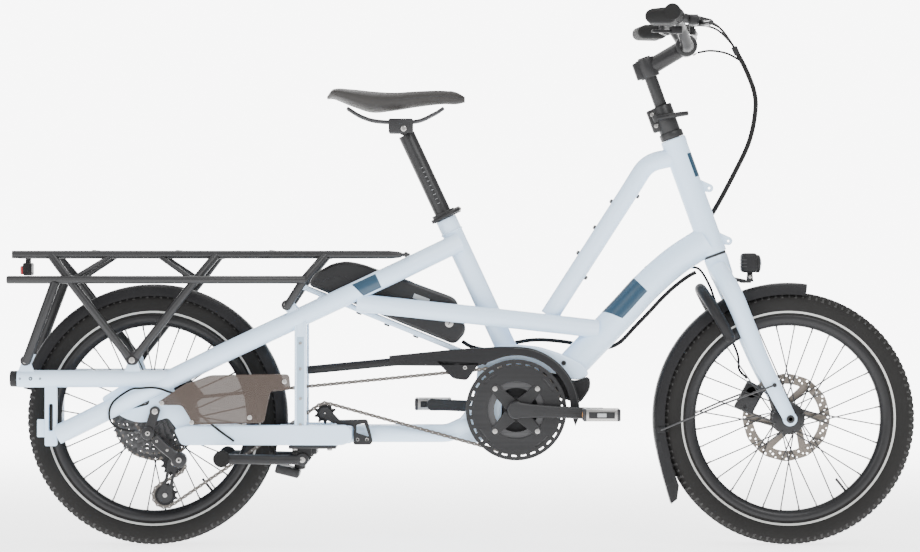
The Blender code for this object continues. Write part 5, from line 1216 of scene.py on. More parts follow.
def pedal(name, body, node, side, eye):
    x, z = eye[0], eye[2]
    made = Shape()
    y = side * 0.1405
    for across in (-1, 1):
        made.add(box((x + across * 0.0335, y, z), (0.0075, 0.0875, 0.025), edge=0.0022), DARK_STEEL)
        for k in range(7):
            spot = y - 0.038 + 0.0127 * k
            made.add(
                box((x + across * 0.0372, spot, z), (0.0012, 0.004, 0.0215), edge=0.0004, segments=1),
                BLACK,
            )
        for high in (-1, 1):
            made.add(
                box(
                    (x + across * 0.0376, y, z + high * 0.0025), (0.0013, 0.05, 0.004), edge=0.0005,
                    segments=1,
                ),
                AMBER,
            )
    for end in (-1, 1):
        made.add(box((x, y + end * 0.0405, z), (0.073, 0.006, 0.0245), edge=0.0022), STEEL)
        made.add(box((x, y + end * 0.0436, z), (0.052, 0.0008, 0.013), edge=0.0003), PLASTIC)
        made.add(box((x, y + end * 0.0438, z), (0.018, 0.0008, 0.0075), edge=0.0003), LABEL)
    made.add(rod((x, y - 0.041, z), (x, y + 0.041, z), 0.0112, 32), PLASTIC)
    for across in (-1, 1):
        made.add(box((x + across * 0.021, y, z), (0.004, 0.078, 0.02), edge=0.0012), RUBBER)
    for k in range(5):
        made.add(box((x, y - 0.03 + 0.015 * k, z), (0.07, 0.0042, 0.016), edge=0.001), PLASTIC)
    made.add(rod((x, side * 0.0745, z), (x, side * 0.1005, z), 0.007, 24), STEEL)
    made.add(rod((x, side * 0.1795, z), (x, side * 0.1835, z), 0.009, 28), PLASTIC)
    for k in range(6):
        for high in (-1, 1):
            made.add(
                rod(
                    (x + (0.0335 if k % 2 else -0.0335), y - 0.034 + 0.0136 * k, z),
                    (x + (0.0335 if k % 2 else -0.0335), y - 0.034 + 0.0136 * k, z + high * 0.013),
                    0.0016, 8,
                ),
                STEEL,
            )
    made.place(name, body, [node], "black_metal")


def cassette():
    made = Shape()
    for index, teeth in enumerate((41, 36, 32, 28, 25, 22, 19, 17, 15, 13, 11)[::-1]):
        y = -0.064 + 0.004 * index
        made.add(
            sheet(
                sprocket(teeth, (REAR_AXLE.x, REAR_AXLE.z), 0.0018, 0.0168, 6 if teeth > 21 else 0, 0.003),
                y, 0.0018,
            ),
            DARK_STEEL if index % 2 else BLACK,
        )
    made.add(
        rod((REAR_AXLE.x, -0.068, REAR_AXLE.z), (REAR_AXLE.x, -0.0222, REAR_AXLE.z), 0.0174, 40),
        DARK_STEEL,
    )
    cap = [(0.008, -0.0695), (0.015, -0.0695), (0.016, -0.068), (0.016, -0.0665), (0.008, -0.0665)]
    made.add(lathe(Vector((REAR_AXLE.x, 0, REAR_AXLE.z)), Y, cap, 36, closed=True), SATIN)
    made.place("cassette_sprockets", "cassette", ["cassette"], "steel")


def chain_stations():
    listed = ((REAR_AXLE, 17, -1), (CRANK, 44, -1), (IDLER, 10, 1), (TENSION, 12, -1), (GUIDE, 12, 1))
    return [(centre, PITCH / (2 * math.sin(math.pi / teeth)), turn) for centre, teeth, turn in listed]


def heading(first, second):
    (start, first_radius, first_turn), (end, second_radius, second_turn) = first, second
    offset = first_turn * first_radius - second_turn * second_radius
    distance = math.hypot(end.x - start.x, end.z - start.z)
    return math.atan2(end.z - start.z, end.x - start.x) + math.asin(offset / distance)


def chain_path():
    """Close points round the whole loop, on the line through the rollers."""
    stations = chain_stations()
    points = []
    for index, (centre, radius, turn) in enumerate(stations):
        arrive = heading(stations[index - 1], stations[index]) - turn * math.pi / 2
        leave = heading(stations[index], stations[(index + 1) % len(stations)]) - turn * math.pi / 2
        swept = (turn * (leave - arrive)) % math.tau
        for step in range(41):
            angle = arrive + turn * swept * step / 40
            points.append(
                Vector((centre.x + radius * math.cos(angle), 0, centre.z + radius * math.sin(angle)))
            )
    return points


def link_outline(start, end):
    """The waisted side plate of one link, between two pins."""
    middle = (start + end) / 2
    ahead = (end - start).normalized()
    over = square_to(ahead)
    facing = math.degrees(math.atan2(ahead.z, ahead.x))
    outline = arc((end.x, end.z), 0.004, facing - 75, facing + 75, 6)
    waist = middle + over * 0.0028
    outline.append((waist.x, waist.z))
    outline += arc((start.x, start.z), 0.004, facing + 105, facing + 255, 6)
    waist = middle - over * 0.0028
    outline.append((waist.x, waist.z))
    return outline


def chain_pins():
    """An even number of pins, one pitch apart, round the whole loop."""
    path = chain_path()
    spans = [(b - a).length for a, b in zip(path, path[1:] + path[:1])]
    total = sum(spans)
    count = 2 * round(total / PITCH / 2)
    pins = []
    walked, index = 0.0, 0
    for k in range(count):
        target = total * k / count
        while walked + spans[index] < target:
            walked += spans[index]
            index += 1
        t = (target - walked) / spans[index]
        pins.append(path[index].lerp(path[(index + 1) % len(path)], t))
    return pins


def chain():
    pins = chain_pins()
    shares = {name: Shape() for name in ("loop", "fore_high", "fore_low", "cage", "aft_low", "aft_high")}
    for k, pin in enumerate(pins):
        following = pins[(k + 1) % len(pins)]
        made = shares[chain_share((pin + following) / 2)]
        gap = 0.0019 if k % 2 else 0.00235
        for side in (-1, 1):
            made.add(sheet([link_outline(pin, following)], CHAIN_Y + side * gap, 0.0005), CHAIN)
        made.add(
            rod((pin.x, CHAIN_Y - 0.0016, pin.z), (pin.x, CHAIN_Y + 0.0016, pin.z), 0.0036, 10, 0.0003),
            CHAIN,
        )
        made.add(
            rod((pin.x, CHAIN_Y - 0.00262, pin.z), (pin.x, CHAIN_Y + 0.00262, pin.z), 0.0016, 8, 0.0002),
            STEEL,
        )
    shares["loop"].place("chain_links", "root", ["chain"], "chain_steel")
    shares["cage"].place("chain_on_cage", "derailleur_cage", [], "chain_steel")
    for name, first, second, start, end in (
        ("fore_high", "root", "derailleur_link", (-0.305, CHAIN_Y, 0.245), (-0.45, CHAIN_Y, 0.165)),
        ("fore_low", "derailleur_link", "derailleur_cage", (-0.46, CHAIN_Y, 0.16), (-0.56, CHAIN_Y, 0.102)),
        ("aft_high", "root", "derailleur_link", (-0.6, CHAIN_Y, 0.216), (-0.6, CHAIN_Y, 0.203)),
        ("aft_low", "derailleur_link", "derailleur_cage", (-0.6, CHAIN_Y, 0.204), (-0.6, CHAIN_Y, 0.184)),
    ):
        piece = shares[name].place("chain_" + name, None, [], "chain_steel")
        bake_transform(piece)


def chain_share(spot):
    """Which piece a link belongs to: the fixed loop, the cage, or a run that stretches between them."""
    if spot.z > 0.232 or (spot.x < -0.56 and spot.z > 0.222):
        if not (spot.x < -0.295 and spot.x > -0.56 and spot.z < 0.252):
            return "loop"
    if spot.x > -0.59 and spot.z < 0.258 and not (spot.x < -0.565 and spot.z > 0.13):
        return "fore_high" if spot.x > -0.45 else "fore_low"
    if spot.z > 0.184:
        return "aft_high" if spot.z > 0.204 else "aft_low"
    return "cage"


def small_pulley(name, body, node, centre, teeth):
    made = Shape()
    made.add(
        sheet(sprocket(teeth, (centre.x, centre.z), 0.003, 0.0045, 0, 0.0026), CHAIN_Y, 0.003, 0.0004),
        PLASTIC,
    )
    made.add(
        lathe(
            (centre.x, CHAIN_Y - 0.003, centre.z), Y,
            [(0.0034, 0), (0.0075, 0), (0.0082, 0.0006), (0.0082, 0.0054), (0.0075, 0.006), (0.0034, 0.006)],
            28, closed=True,
        ),
        DARK_STEEL,
    )
    made.place(name, body, [node], "black_plastic")


motor()
battery()
chainring()
crank_arm("right_crank_arm", "right_crank", -1, RIGHT_EYE)
crank_arm("left_crank_arm", "left_crank", 1, LEFT_EYE)
pedal("right_pedal_body", "right_pedal", "right_pedal", -1, RIGHT_EYE)
pedal("left_pedal_body", "left_pedal", "left_pedal", 1, LEFT_EYE)
cassette()
chain()
small_pulley("idler_wheel", "idler_pulley", "idler_pulley", IDLER, 10)
small_pulley("tension_wheel", "tension_pulley", "tension_pulley", TENSION, 12)
small_pulley("guide_wheel", "guide_pulley", "guide_pulley", GUIDE, 12)


def idler_bracket():
    made = Shape()
    y = CHAIN_Y - 0.0075
    outline = [
        (-0.262, 0.256), (-0.194, 0.2575), (-0.183, 0.213), (-0.187, 0.2055), (-0.2225, 0.2055),
        (-0.2225, 0.244), (-0.256, 0.2455),
    ]
    window = [(-0.2, 0.249), (-0.191, 0.222), (-0.216, 0.23), (-0.216, 0.246)]
    made.add(sheet([rounded(outline, 0.005), rounded(window, 0.003)], y, 0.005, 0.0008), BLACK)
    arm = arc((IDLER.x, IDLER.z), 0.0118, 60, 250, 16) + [(-0.262, 0.2485), (-0.245, 0.253), (-0.25, 0.256)]
    made.add(sheet([rounded(arm, 0.003, 2)], y, 0.0056, 0.0008), BLACK)
    made.add(rod((IDLER.x, y - 0.0028, IDLER.z), (IDLER.x, CHAIN_Y + 0.006, IDLER.z), 0.003, 18), STEEL)
    made.add(bolt((IDLER.x, y - 0.0024, IDLER.z), (0, -1, 0), 0.005, 0.0004), BLACK)
    for x in (-0.214, -0.195):
        made.add(rod((x, y, 0.216), (x, -0.049, 0.216), 0.005, 20), BLACK)
        made.add(bolt((x, y - 0.0023, 0.216), (0, -1, 0), 0.0045, 0.0002), STEEL)
    made.place("idler_mount", "root", ["idler_bracket"], "black_metal")


def derailleur():
    made = Shape()
    made.add(
        sheet(
            [arc((HANGER.x, HANGER.z), 0.011, 10, 190, 16) + arc((FOOT.x, FOOT.z), 0.0105, 195, 360, 16)],
            -0.0895, 0.0108, 0.002,
        ),
        SATIN,
    )
    made.add(bolt((HANGER.x, -0.0945, HANGER.z), (0, -1, 0), 0.006, 0.003), STEEL)
    made.add(rod((HANGER.x, -0.085, HANGER.z), (HANGER.x, -0.0805, HANGER.z), 0.007, 24), BLACK)
    made.add(rod((FOOT.x, -0.0822, FOOT.z), (FOOT.x, -0.1038, FOOT.z), 0.0133, 36, 0.002), SATIN)
    made.add(bolt((FOOT.x, -0.1036, FOOT.z), (0, -1, 0), 0.0048, 0.0004), STEEL)
    made.place("derailleur_mount", "root", ["derailleur_body"], "black_metal")


idler_bracket()
derailleur()


def chain_guard():
    made = Shape()
    made.add(
        tube(
            [
                (-0.3155, CHAIN_Y, 0.357), (-0.312, CHAIN_Y, 0.3573), (-0.14, CHAIN_Y, 0.3736),
                (-0.13, CHAIN_Y, 0.3745),
            ],
            [0.0078, 0.0085, 0.0085, 0.0085], 28,
        ),
        PLASTIC,
    )
    made.add(rod((-0.3158, CHAIN_Y, 0.357), (-0.309, CHAIN_Y, 0.3576), 0.0083, 26), BLACK)
    band = [(-0.15, 0.386), (-0.02, 0.399), (0.075, 0.4045)] + arc(CRANK_HUB, 0.1285, 95, 2, 32)
    band += [(0.2362, 0.262), (0.228, 0.243), (0.222, 0.262)] + arc(CRANK_HUB, 0.1105, -6, 112, 36)[1:]
    band += [(0.03, 0.3655), (-0.02, 0.365), (-0.15, 0.366)]
    made.add(sheet([band], CHAIN_Y, 0.0198, 0.0022), PLASTIC)
    rib = arc(CRANK_HUB, 0.1262, 92, 6, 30) + arc(CRANK_HUB, 0.1246, 6, 92, 30)
    made.add(sheet([rib], CHAIN_Y - 0.0098, 0.0006), BLACK)
    skirt = [(-0.055, 0.376), (-0.02, 0.3395), (0.008, 0.336), (0.034, 0.372)]
    made.add(sheet([rounded(skirt, 0.006)], -0.0605, 0.0028, 0.0006), PLASTIC)
    made.add(bolt((0.004, -0.0618, 0.362), (0, -1, 0), 0.004, 0.0002), STEEL)
    made.place("chain_guard_shell", "root", ["chain_guard"], "black_plastic")


def chain_plate():
    outline = [
        (-0.617, 0.293), (-0.565, 0.328), (-0.511, 0.348), (-0.351, 0.35), (-0.348, 0.318),
        (-0.389, 0.316), (-0.402, 0.251), (-0.546, 0.2475), (-0.553, 0.262), (-0.568, 0.287),
        (-0.608, 0.287),
    ]
    made = Shape().add(sheet([rounded(outline, 0.008)], -0.0985, 0.0028, 0.0007), SMOKED)
    for x, z in ((-0.609, 0.291), (-0.5485, 0.252), (-0.431, 0.262), (-0.3606, 0.3345)):
        made.add(bolt((x, -0.0998, z), (0, -1, 0), 0.0048, 0.0022), STEEL)
    made.place("smoked_chain_plate", "root", ["chain_plate"], "smoked")


chain_guard()
chain_plate()


def derailleur_arm():
    foot, knuckle = Vector((FOOT.x, 0, FOOT.z)), KNUCKLE
    ahead = (knuckle - foot).normalized()
    over = square_to(ahead)
    made = Shape()
    corners = [
        foot + 0.015 * ahead + 0.0108 * over, foot + 0.04 * ahead + 0.009 * over, knuckle + 0.01 * over,
        knuckle - 0.01 * over, foot + 0.04 * ahead - 0.0105 * over, foot + 0.015 * ahead - 0.0098 * over,
    ]
    made.add(sheet([rounded(flat(corners), 0.004, 4)], -0.0945, 0.017, 0.0028), SATIN)
    made.add(
        rod((knuckle.x, -0.0648, knuckle.z), (knuckle.x, -0.1038, knuckle.z), 0.0154, 44, 0.0022),
        SATIN,
    )
    made.add(bolt((knuckle.x, -0.1036, knuckle.z), (0, -1, 0), 0.0055, 0.0004), STEEL)
    for spot in (foot + 0.024 * ahead, foot + 0.052 * ahead):
        made.add(bolt((spot.x, -0.1026, spot.z), (0, -1, 0), 0.0026, 0.001), STEEL)
    made.place("derailleur_arm", "derailleur_link", ["derailleur_link"], "black_metal")


def derailleur_cage():
    made = Shape()
    low, high = Vector((TENSION.x, 0, TENSION.z)), Vector((GUIDE.x, 0, GUIDE.z))
    for y in (CHAIN_Y - 0.0052, CHAIN_Y + 0.0052):
        ahead = (high - low).normalized()
        over = square_to(ahead)
        outline = arc((low.x, low.z), 0.0157, 165, 375, 22)
        middle = (low + high) / 2 - 0.0086 * over
        outline += [(middle.x, middle.z)] + arc((high.x, high.z), 0.012, -15, 165, 16)
        middle = (low + high) / 2 + 0.0086 * over
        outline.append((middle.x, middle.z))
        spine = (low + high) / 2
        slot = [
            spine + 0.016 * ahead + 0.0032 * over, spine - 0.013 * ahead + 0.0032 * over,
            spine - 0.013 * ahead - 0.0032 * over, spine + 0.016 * ahead - 0.0032 * over,
        ]
        made.add(sheet([outline, rounded(flat(slot), 0.003, 3)], y, 0.0018, 0.0003), SATIN)
    made.add(
        sheet(
            [
                arc((KNUCKLE.x, KNUCKLE.z), 0.011, -80, 100, 14) + [
                    (high.x, high.z + 0.0085), (high.x - 0.002, high.z - 0.0085),
                ]
            ],
            CHAIN_Y - 0.0056, 0.0018, 0.0003,
        ),
        SATIN,
    )
    made.add(
        rod((KNUCKLE.x, -0.0643, KNUCKLE.z), (KNUCKLE.x, CHAIN_Y - 0.0046, KNUCKLE.z), 0.011, 30),
        SATIN,
    )
    for centre in (TENSION, GUIDE):
        made.add(
            rod((centre.x, CHAIN_Y - 0.0062, centre.z), (centre.x, CHAIN_Y + 0.0062, centre.z), 0.003, 16),
            STEEL,
        )
        made.add(bolt((centre.x, CHAIN_Y - 0.006, centre.z), (0, -1, 0), 0.0045, 0.0008), STEEL)
    made.place("derailleur_cage_plates", "derailleur_cage", ["derailleur_cage"], "black_metal")


derailleur_arm()
derailleur_cage()


# Wheel lock


LOCK_TOP, LOCK_FOOT = Vector((0.478, 0.0, 0.534)), Vector((0.556, 0.0, 0.399))


def lock_arc(start, end, steps, radius=0.07):
    along = (LOCK_TOP - LOCK_FOOT).normalized()
    middle = (LOCK_TOP + LOCK_FOOT) / 2 - 0.006 * along
    turns = [math.radians(start + (end - start) * k / steps) for k in range(steps + 1)]
    return [middle + radius * (math.cos(t) * Y + math.sin(t) * along) for t in turns]


def ring_lock():
    path = lock_arc(-42, 222, 66)
    sizes = [0.0112] * len(path)
    sizes[0] = sizes[-1] = 0.01
    made = Shape()
    outer = tube(path, sizes, 26, cap=False)
    inner = tube(path, [0.007] * len(path), 26, cap=False)
    base = len(outer[0])
    points = outer[0] + inner[0]
    faces = outer[1] + [tuple(base + k for k in face[::-1]) for face in inner[1]]
    last = (len(path) - 1) * 26
    for k in range(26):
        n = (k + 1) % 26
        faces.append((n, k, base + k, base + n))
        faces.append((last + k, last + n, base + last + n, base + last + k))
    made.add((points, faces), PLASTIC)
    for turn in (60, 120):
        spot = lock_arc(turn, turn, 1)[0]
        made.add(bead(spot, (lock_arc(turn + 1, turn + 1, 1)[0] - spot), 0.0108, 0.0007, 26), BLACK)
    made.place("lock_body", "fork_assembly", ["ring_lock"], "black_plastic")


def lock_bow():
    made = Shape().add(tube(lock_arc(-40, 188, 60), 0.0048, 18), STEEL)
    made.place("lock_bow", "shackle", ["lock_shackle"], "steel")


ring_lock()
lock_bow()


# Stand


def stand_mount():
    made = Shape()
    made.add(box((-0.305, 0.0, 0.2015), (0.096, 0.17, 0.007), edge=0.0018), BLACK)
    made.add(box((-0.322, 0.0, 0.192), (0.05, 0.11, 0.013), edge=0.0025), BLACK)
    for side in (-1, 1):
        cheek = [
            (-0.337, 0.2), (-0.307, 0.2), (-0.307, 0.178),
        ] + arc((-0.325, 0.18), 0.0125, -25, -155, 10) + [(-0.337, 0.182)]
        made.add(
            sheet([cheek, circle(STAND_PIVOT.x, STAND_PIVOT.z, 0.007, 24)], side * 0.0655, 0.0058, 0.0008),
            BLACK,
        )
        for x in (-0.34, -0.27):
            made.add(bolt((x, side * 0.074, 0.1982), (0, 0, -1), 0.0055, 0.004), STEEL)
    made.place("stand_mount", "root", ["kickstand_mount"], "black_metal")


def stand():
    made = Shape()
    made.add(rod(STAND_PIVOT - 0.084 * Y, STAND_PIVOT + 0.084 * Y, 0.0064, 28), STEEL)
    made.add(
        box(
            STAND_PIVOT + Vector((-0.032, 0.0, -0.025)), (0.05, 0.108, 0.018), pitch=math.radians(14),
            edge=0.004,
        ),
        BLACK,
    )
    made.add(box(STAND_PIVOT + Vector((-0.008, 0.0, -0.01)), (0.022, 0.05, 0.024), edge=0.003), BLACK)
    for side in (-1, 1):
        leg = [
            at_side(STAND_PIVOT + Vector(p), side)
            for p in ((0.0, 0.078, 0.0), (-0.07, 0.096, 0.001), (-0.16, 0.108, 0.003))
        ]
        made.add(tube(flowing(leg, 16), 0.01, 24), BLACK)
        made.add(
            rod(
                STAND_PIVOT + Vector((0, side * 0.069, 0)), STAND_PIVOT + Vector((0, side * 0.0885, 0)),
                0.0125, 32,
            ),
            BLACK,
        )
        made.add(bolt(STAND_PIVOT + Vector((0, side * 0.0883, 0)), (0, side, 0), 0.006, 0.0008), STEEL)
        foot = STAND_PIVOT + Vector((-0.162, 0.0, 0.003))
        profile = [(0.0125, 0.0982), (0.016, 0.099), (0.017, 0.102)]
        for k in range(4):
            profile += [
                (0.017, 0.103 + 0.0048 * k), (0.0158, 0.1042 + 0.0048 * k),
                (0.0158, 0.1056 + 0.0048 * k), (0.017, 0.1068 + 0.0048 * k),
            ]
        profile += [(0.017, 0.1225), (0.0155, 0.124), (0.011, 0.124)]
        made.add(lathe((foot.x, 0, foot.z), (0, side, 0), profile, 36), RUBBER)
    made.place("stand_legs", "stand", ["kickstand"], "black_metal")


stand_mount()
stand()


# Seat


def seat_collar():
    foot, top = SEAT_FOOT + 0.2575 * SEAT_AXIS, SEAT_FOOT + 0.272 * SEAT_AXIS
    made = Shape().add(hollow(foot, top, 0.0243, 0.0216, 48), BLACK)
    made.add(
        box(
            (foot + top) / 2 + Vector((0.026, 0, 0.011)), (0.014, 0.022, 0.0125),
            pitch=math.radians(-25), edge=0.002,
        ),
        BLACK,
    )
    made.place("seat_clamp", "root", ["seat_collar"], "black_metal")


def seat_lever():
    pivot = SEAT_FOOT + 0.2648 * SEAT_AXIS + Vector((0.03, 0, 0.013))
    made = Shape().add(rod(pivot + Vector((0, -0.0125, 0)), pivot + Vector((0, -0.02, 0)), 0.005, 20), STEEL)
    arm = [pivot + Vector(p) for p in ((0, -0.016, 0), (-0.018, -0.031, -0.009), (-0.055, -0.032, -0.028))]
    smooth = flowing(arm, 15)
    made.add(tube(smooth, [0.0045 - 0.00004 * k for k in range(15)], 18), BLACK)
    made.place("seat_clamp_lever", "seat_lever", ["seat_lever"], "black_metal")


def seatpost():
    top = SADDLE_PIVOT - 0.012 * SEAT_AXIS
    start = SEAT_FOOT + 0.06 * SEAT_AXIS
    made = Shape().add(rod(start, top, 0.017, 44), SATIN)
    for k in range(9):
        spot = SEAT_FOOT + (0.292 + 0.01 * k) * SEAT_AXIS
        made.add(
            box(
                spot + Vector((0.0, -0.0168, 0.0)), (0.005, 0.0006, 0.0008), pitch=math.radians(-25),
                edge=0.0002, segments=1,
            ),
            LABEL,
        )
    made.add(rod(SADDLE_PIVOT - 0.016 * Y, SADDLE_PIVOT + 0.016 * Y, 0.0125, 34), BLACK)
    made.add(bolt(SADDLE_PIVOT - 0.0158 * Y, -Y, 0.006, 0.0002), STEEL)
    made.place("seatpost_tube", "post", ["seatpost"], "black_metal")


def saddle_cradle():
    made = Shape()
    x, z = SADDLE_PIVOT.x, SADDLE_PIVOT.z
    for side in (-1, 1):
        made.add(box((x - 0.006, side * 0.0265, z + 0.006), (0.05, 0.0133, 0.03), edge=0.0035), BLACK)
        made.add(bolt((x, side * 0.033, z), (0, side, 0), 0.0058, 0.0024), STEEL)
    made.add(box((x - 0.006, 0.0, z + 0.0172), (0.03, 0.046, 0.005), edge=0.0012), BLACK)
    rail = [
        (-0.236, 0.036, 0.89), (-0.205, 0.03, 0.872), (-0.168, 0.0225, 0.863), (-0.098, 0.0225, 0.863),
        (-0.06, 0.018, 0.878), (-0.04, 0.008, 0.8905),
    ]
    for side in (-1, 1):
        made.add(tube(flowing(on_side(rail, side), 36), 0.0035, 16), DARK_STEEL)
    made.place("saddle_rails", "saddle", ["saddle_cradle"], "black_metal")


STATIONS = (
    (-0.277, 0.03, 0.915, 0.006), (-0.262, 0.062, 0.93, 0.022), (-0.225, 0.078, 0.929, 0.036),
    (-0.185, 0.074, 0.925, 0.044), (-0.14, 0.054, 0.923, 0.038),
    (-0.095, 0.036, 0.926, 0.034), (-0.045, 0.026, 0.928, 0.03), (-0.015, 0.021, 0.924, 0.026),
    (0.004, 0.01, 0.914, 0.012),
)


def saddle_rows():
    """Closely spaced stations along the saddle, from its tail to its nose."""
    upper = flowing([(x, half, top) for x, half, top, _ in STATIONS], 57)
    lower = flowing([(x, half, depth) for x, half, _, depth in STATIONS], 57)
    return [(a.x, max(0.003, a.y), a.z, max(0.003, b.z)) for a, b in zip(upper, lower)]


def saddle_pad():
    """The crowned pad with its rolled edge, a shallow middle channel and its flat base."""
    points = []
    count = 44
    for x, half, top, depth in saddle_rows():
        for k in range(count):
            t = math.tau * k / count
            c, s = math.cos(t), math.sin(t)
            y = half * math.copysign(abs(c) ** 0.75, c)
            if s >= 0:
                crown = 1 - 0.28 * (abs(y) / half) ** 2.2
                sink = 0.0022 * math.exp(-((y / 0.01) ** 2)) if -0.25 < x < -0.03 else 0.0
                z = top - 0.42 * depth + 0.42 * depth * s**0.62 * crown - sink * s
            else:
                z = top - 0.42 * depth - 0.56 * depth * abs(s) ** 0.8
            points.append(Vector((x, y, z)))
    rows = len(points) // count
    faces = ring_faces(rows, count)
    faces += [tuple(range(count))[::-1], tuple((rows - 1) * count + k for k in range(count))]
    made = Shape().add((points, faces), SKIN)
    pad = made.place("saddle_pad", "saddle", ["saddle"], "saddle_skin", 60)


def saddle_seams():
    """The piping round the edge, and a sewn line inside it."""
    seams = Shape()
    rows_made = saddle_rows()
    for side in (-1, 1):
        edge = [
            Vector((x, side * (half * 0.985), top - 0.44 * depth))
            for x, half, top, depth in rows_made[2:-1]
        ]
        seams.add(tube(edge, 0.001, 8), BLACK)
        inset = []
        for x, half, top, depth in rows_made[6:-8]:
            y = half * 0.6
            crown = 1 - 0.28 * 0.6**2.2
            s = math.sin(math.acos(0.6 ** (1 / 0.75)))
            inset.append(Vector((x, side * y, top - 0.42 * depth + 0.42 * depth * s**0.62 * crown - 0.0003)))
        seams.add(tube(inset, 0.0007, 8), BLACK)
    seams.place("saddle_seams", "saddle", [], "black_rubber")


seat_collar()
seat_lever()
seatpost()
saddle_cradle()
saddle_pad()
saddle_seams()


# Cockpit


def stem():
    made = Shape()
    made.add(rod(above_head(0.0006), above_head(0.015), 0.0245, 48, 0.002), SATIN)
    made.add(rod(above_head(0.014), above_head(0.072), 0.0215, 44, 0.002), SATIN)
    made.add(rod(above_head(0.065), above_head(0.172), 0.013, 36), SATIN)
    made.add(rod(above_head(0.133), above_head(0.174), 0.02, 44, 0.0022), SATIN)
    made.add(rod(above_head(0.1735), above_head(0.177), 0.0135, 32), BLACK)
    made.add(rod(above_head(0.152), BAR_CLAMP, 0.017, 40, 0.0012, 0.0165), SATIN)
    made.add(rod(BAR_CLAMP - 0.023 * Y, BAR_CLAMP + 0.023 * Y, 0.0225, 48, 0.0024), SATIN)
    made.add(
        box(
            above_head(0.043) + Vector((-0.023, 0.0, -0.004)), (0.02, 0.026, 0.048),
            pitch=math.radians(-19.8), edge=0.004,
        ),
        SATIN,
    )
    made.add(
        box(
            above_head(0.153) + Vector((-0.0185, 0.0, -0.006)), (0.016, 0.026, 0.036),
            pitch=math.radians(-19.8), edge=0.003,
        ),
        SATIN,
    )
    for d, x in ((0.032, -0.024), (0.056, -0.024)):
        made.add(bolt(above_head(d) + Vector((x, -0.0128, -0.004)), (0, -1, 0), 0.0042, 0.0008), STEEL)
    for k in (-1, 1):
        for z in (-0.0165, 0.0165):
            made.add(
                bolt(
                    BAR_CLAMP + Vector((0.016 * (1 if z < 0 else -1) * 0.6 + 0.008, k * 0.0165, z * 0.95)),
                    (0.5, 0, z / 0.0165), 0.0036, 0.003,
                ),
                STEEL,
            )
    made.place("stem_body", "cockpit", ["stem"], "black_metal")


def handlebar():
    half = bent(
        [
            (0.4556, 0, 1.0179), (0.4556, 0.045, 1.0179), (0.44, 0.105, 1.05), (0.431, 0.15, 1.066),
            (0.419, 0.27, 1.069), (0.4115, 0.333, 1.068),
        ],
        0.05, 10,
    )
    made = Shape()
    for side in (-1, 1):
        path = on_side(half, side)
        dense = []
        for a, b in zip(path, path[1:]):
            pieces = max(1, int((b - a).length / 0.008))
            dense += [a.lerp(b, k / pieces) for k in range(pieces)]
        dense.append(path[-1])
        radii = [0.0159 - (0.0159 - 0.0111) * min(1, max(0, (abs(p.y) - 0.026) / 0.03)) for p in dense]
        made.add(tube(dense, radii, 30), SATIN)
    made.place("handlebar_tube", "cockpit", ["handlebar"], "black_metal")


def grip(name, node, side):
    made = Shape()
    start, end = at_side((0.4262, 0.198, 1.0672), side), at_side((0.4113, 0.335, 1.068), side)
    profile = [(0.0112, 0.0), (0.015, 0.0), (0.0165, 0.0015), (0.0165, 0.008), (0.0156, 0.009)]
    length = (end - start).length
    for k in range(22):
        at = 0.011 + k * 0.0048
        profile += [(0.0156, at), (0.0163, at + 0.001), (0.0163, at + 0.003), (0.0156, at + 0.004)]
    profile += [(0.0165, length - 0.006), (0.0165, length - 0.0015), (0.015, length), (0.0112, length)]
    made.add(lathe(start, end - start, profile, 36), RUBBER)
    made.add(rod(start, start + 0.008 * (end - start).normalized(), 0.0168, 36), BLACK)
    centre = at_side((0.3935, 0.275, 1.061), side)
    points, faces = box((0, 0, 0), (0.062, 0.116, 0.031), edge=0.014, segments=6)
    turn = Matrix.Translation(centre) @ Matrix.Rotation(math.radians(6) * side, 4, "Z")
    shaped = []
    for p in points:
        rear = max(0.0, min(1.0, (0.03 - p[0]) / 0.06))
        shaped.append(
            turn @ Vector((p[0], p[1] * (0.92 + 0.08 * (1 - rear)), p[2] * (1 - 0.12 * rear) - 0.001 * rear))
        )
    made.add((shaped, faces), RUBBER)
    for k in range(7):
        spot = turn @ Vector((-0.004, -0.042 + 0.014 * k, 0.014))
        made.add(box(spot, (0.03, 0.0034, 0.0024), pitch=math.radians(-6), edge=0.0008, segments=1), RUBBER)
    made.place(name, "cockpit", [node], "black_rubber")


def brake_body(name, node, side):
    made = Shape()
    a, b = at_side((0.427, 0.176, 1.0668), side), at_side((0.4255, 0.192, 1.0672), side)
    made.add(rod(a, b, 0.0165, 40, 0.0016), SATIN)
    made.add(
        tube(
            on_side(((0.436, 0.184, 1.065), (0.45, 0.18, 1.063), (0.462, 0.172, 1.061)), side),
            [0.0105, 0.0095, 0.009], 22,
        ),
        SATIN,
    )
    made.add(box(at_side((0.462, 0.168, 1.06), side), (0.02, 0.052, 0.02), edge=0.0045, segments=4), SATIN)
    made.add(box(at_side((0.462, 0.168, 1.0698), side), (0.016, 0.044, 0.003), edge=0.001), BLACK)
    for y in (0.15, 0.186):
        made.add(bolt(at_side((0.462, y, 1.0708), side), (0, 0, 1), 0.0022, 0.0006), STEEL)
    made.add(bolt(at_side((0.413, 0.184, 1.056), side), (-0.4, 0, -1), 0.0034, 0.003), STEEL)
    made.place(name, "cockpit", [node], "black_metal")


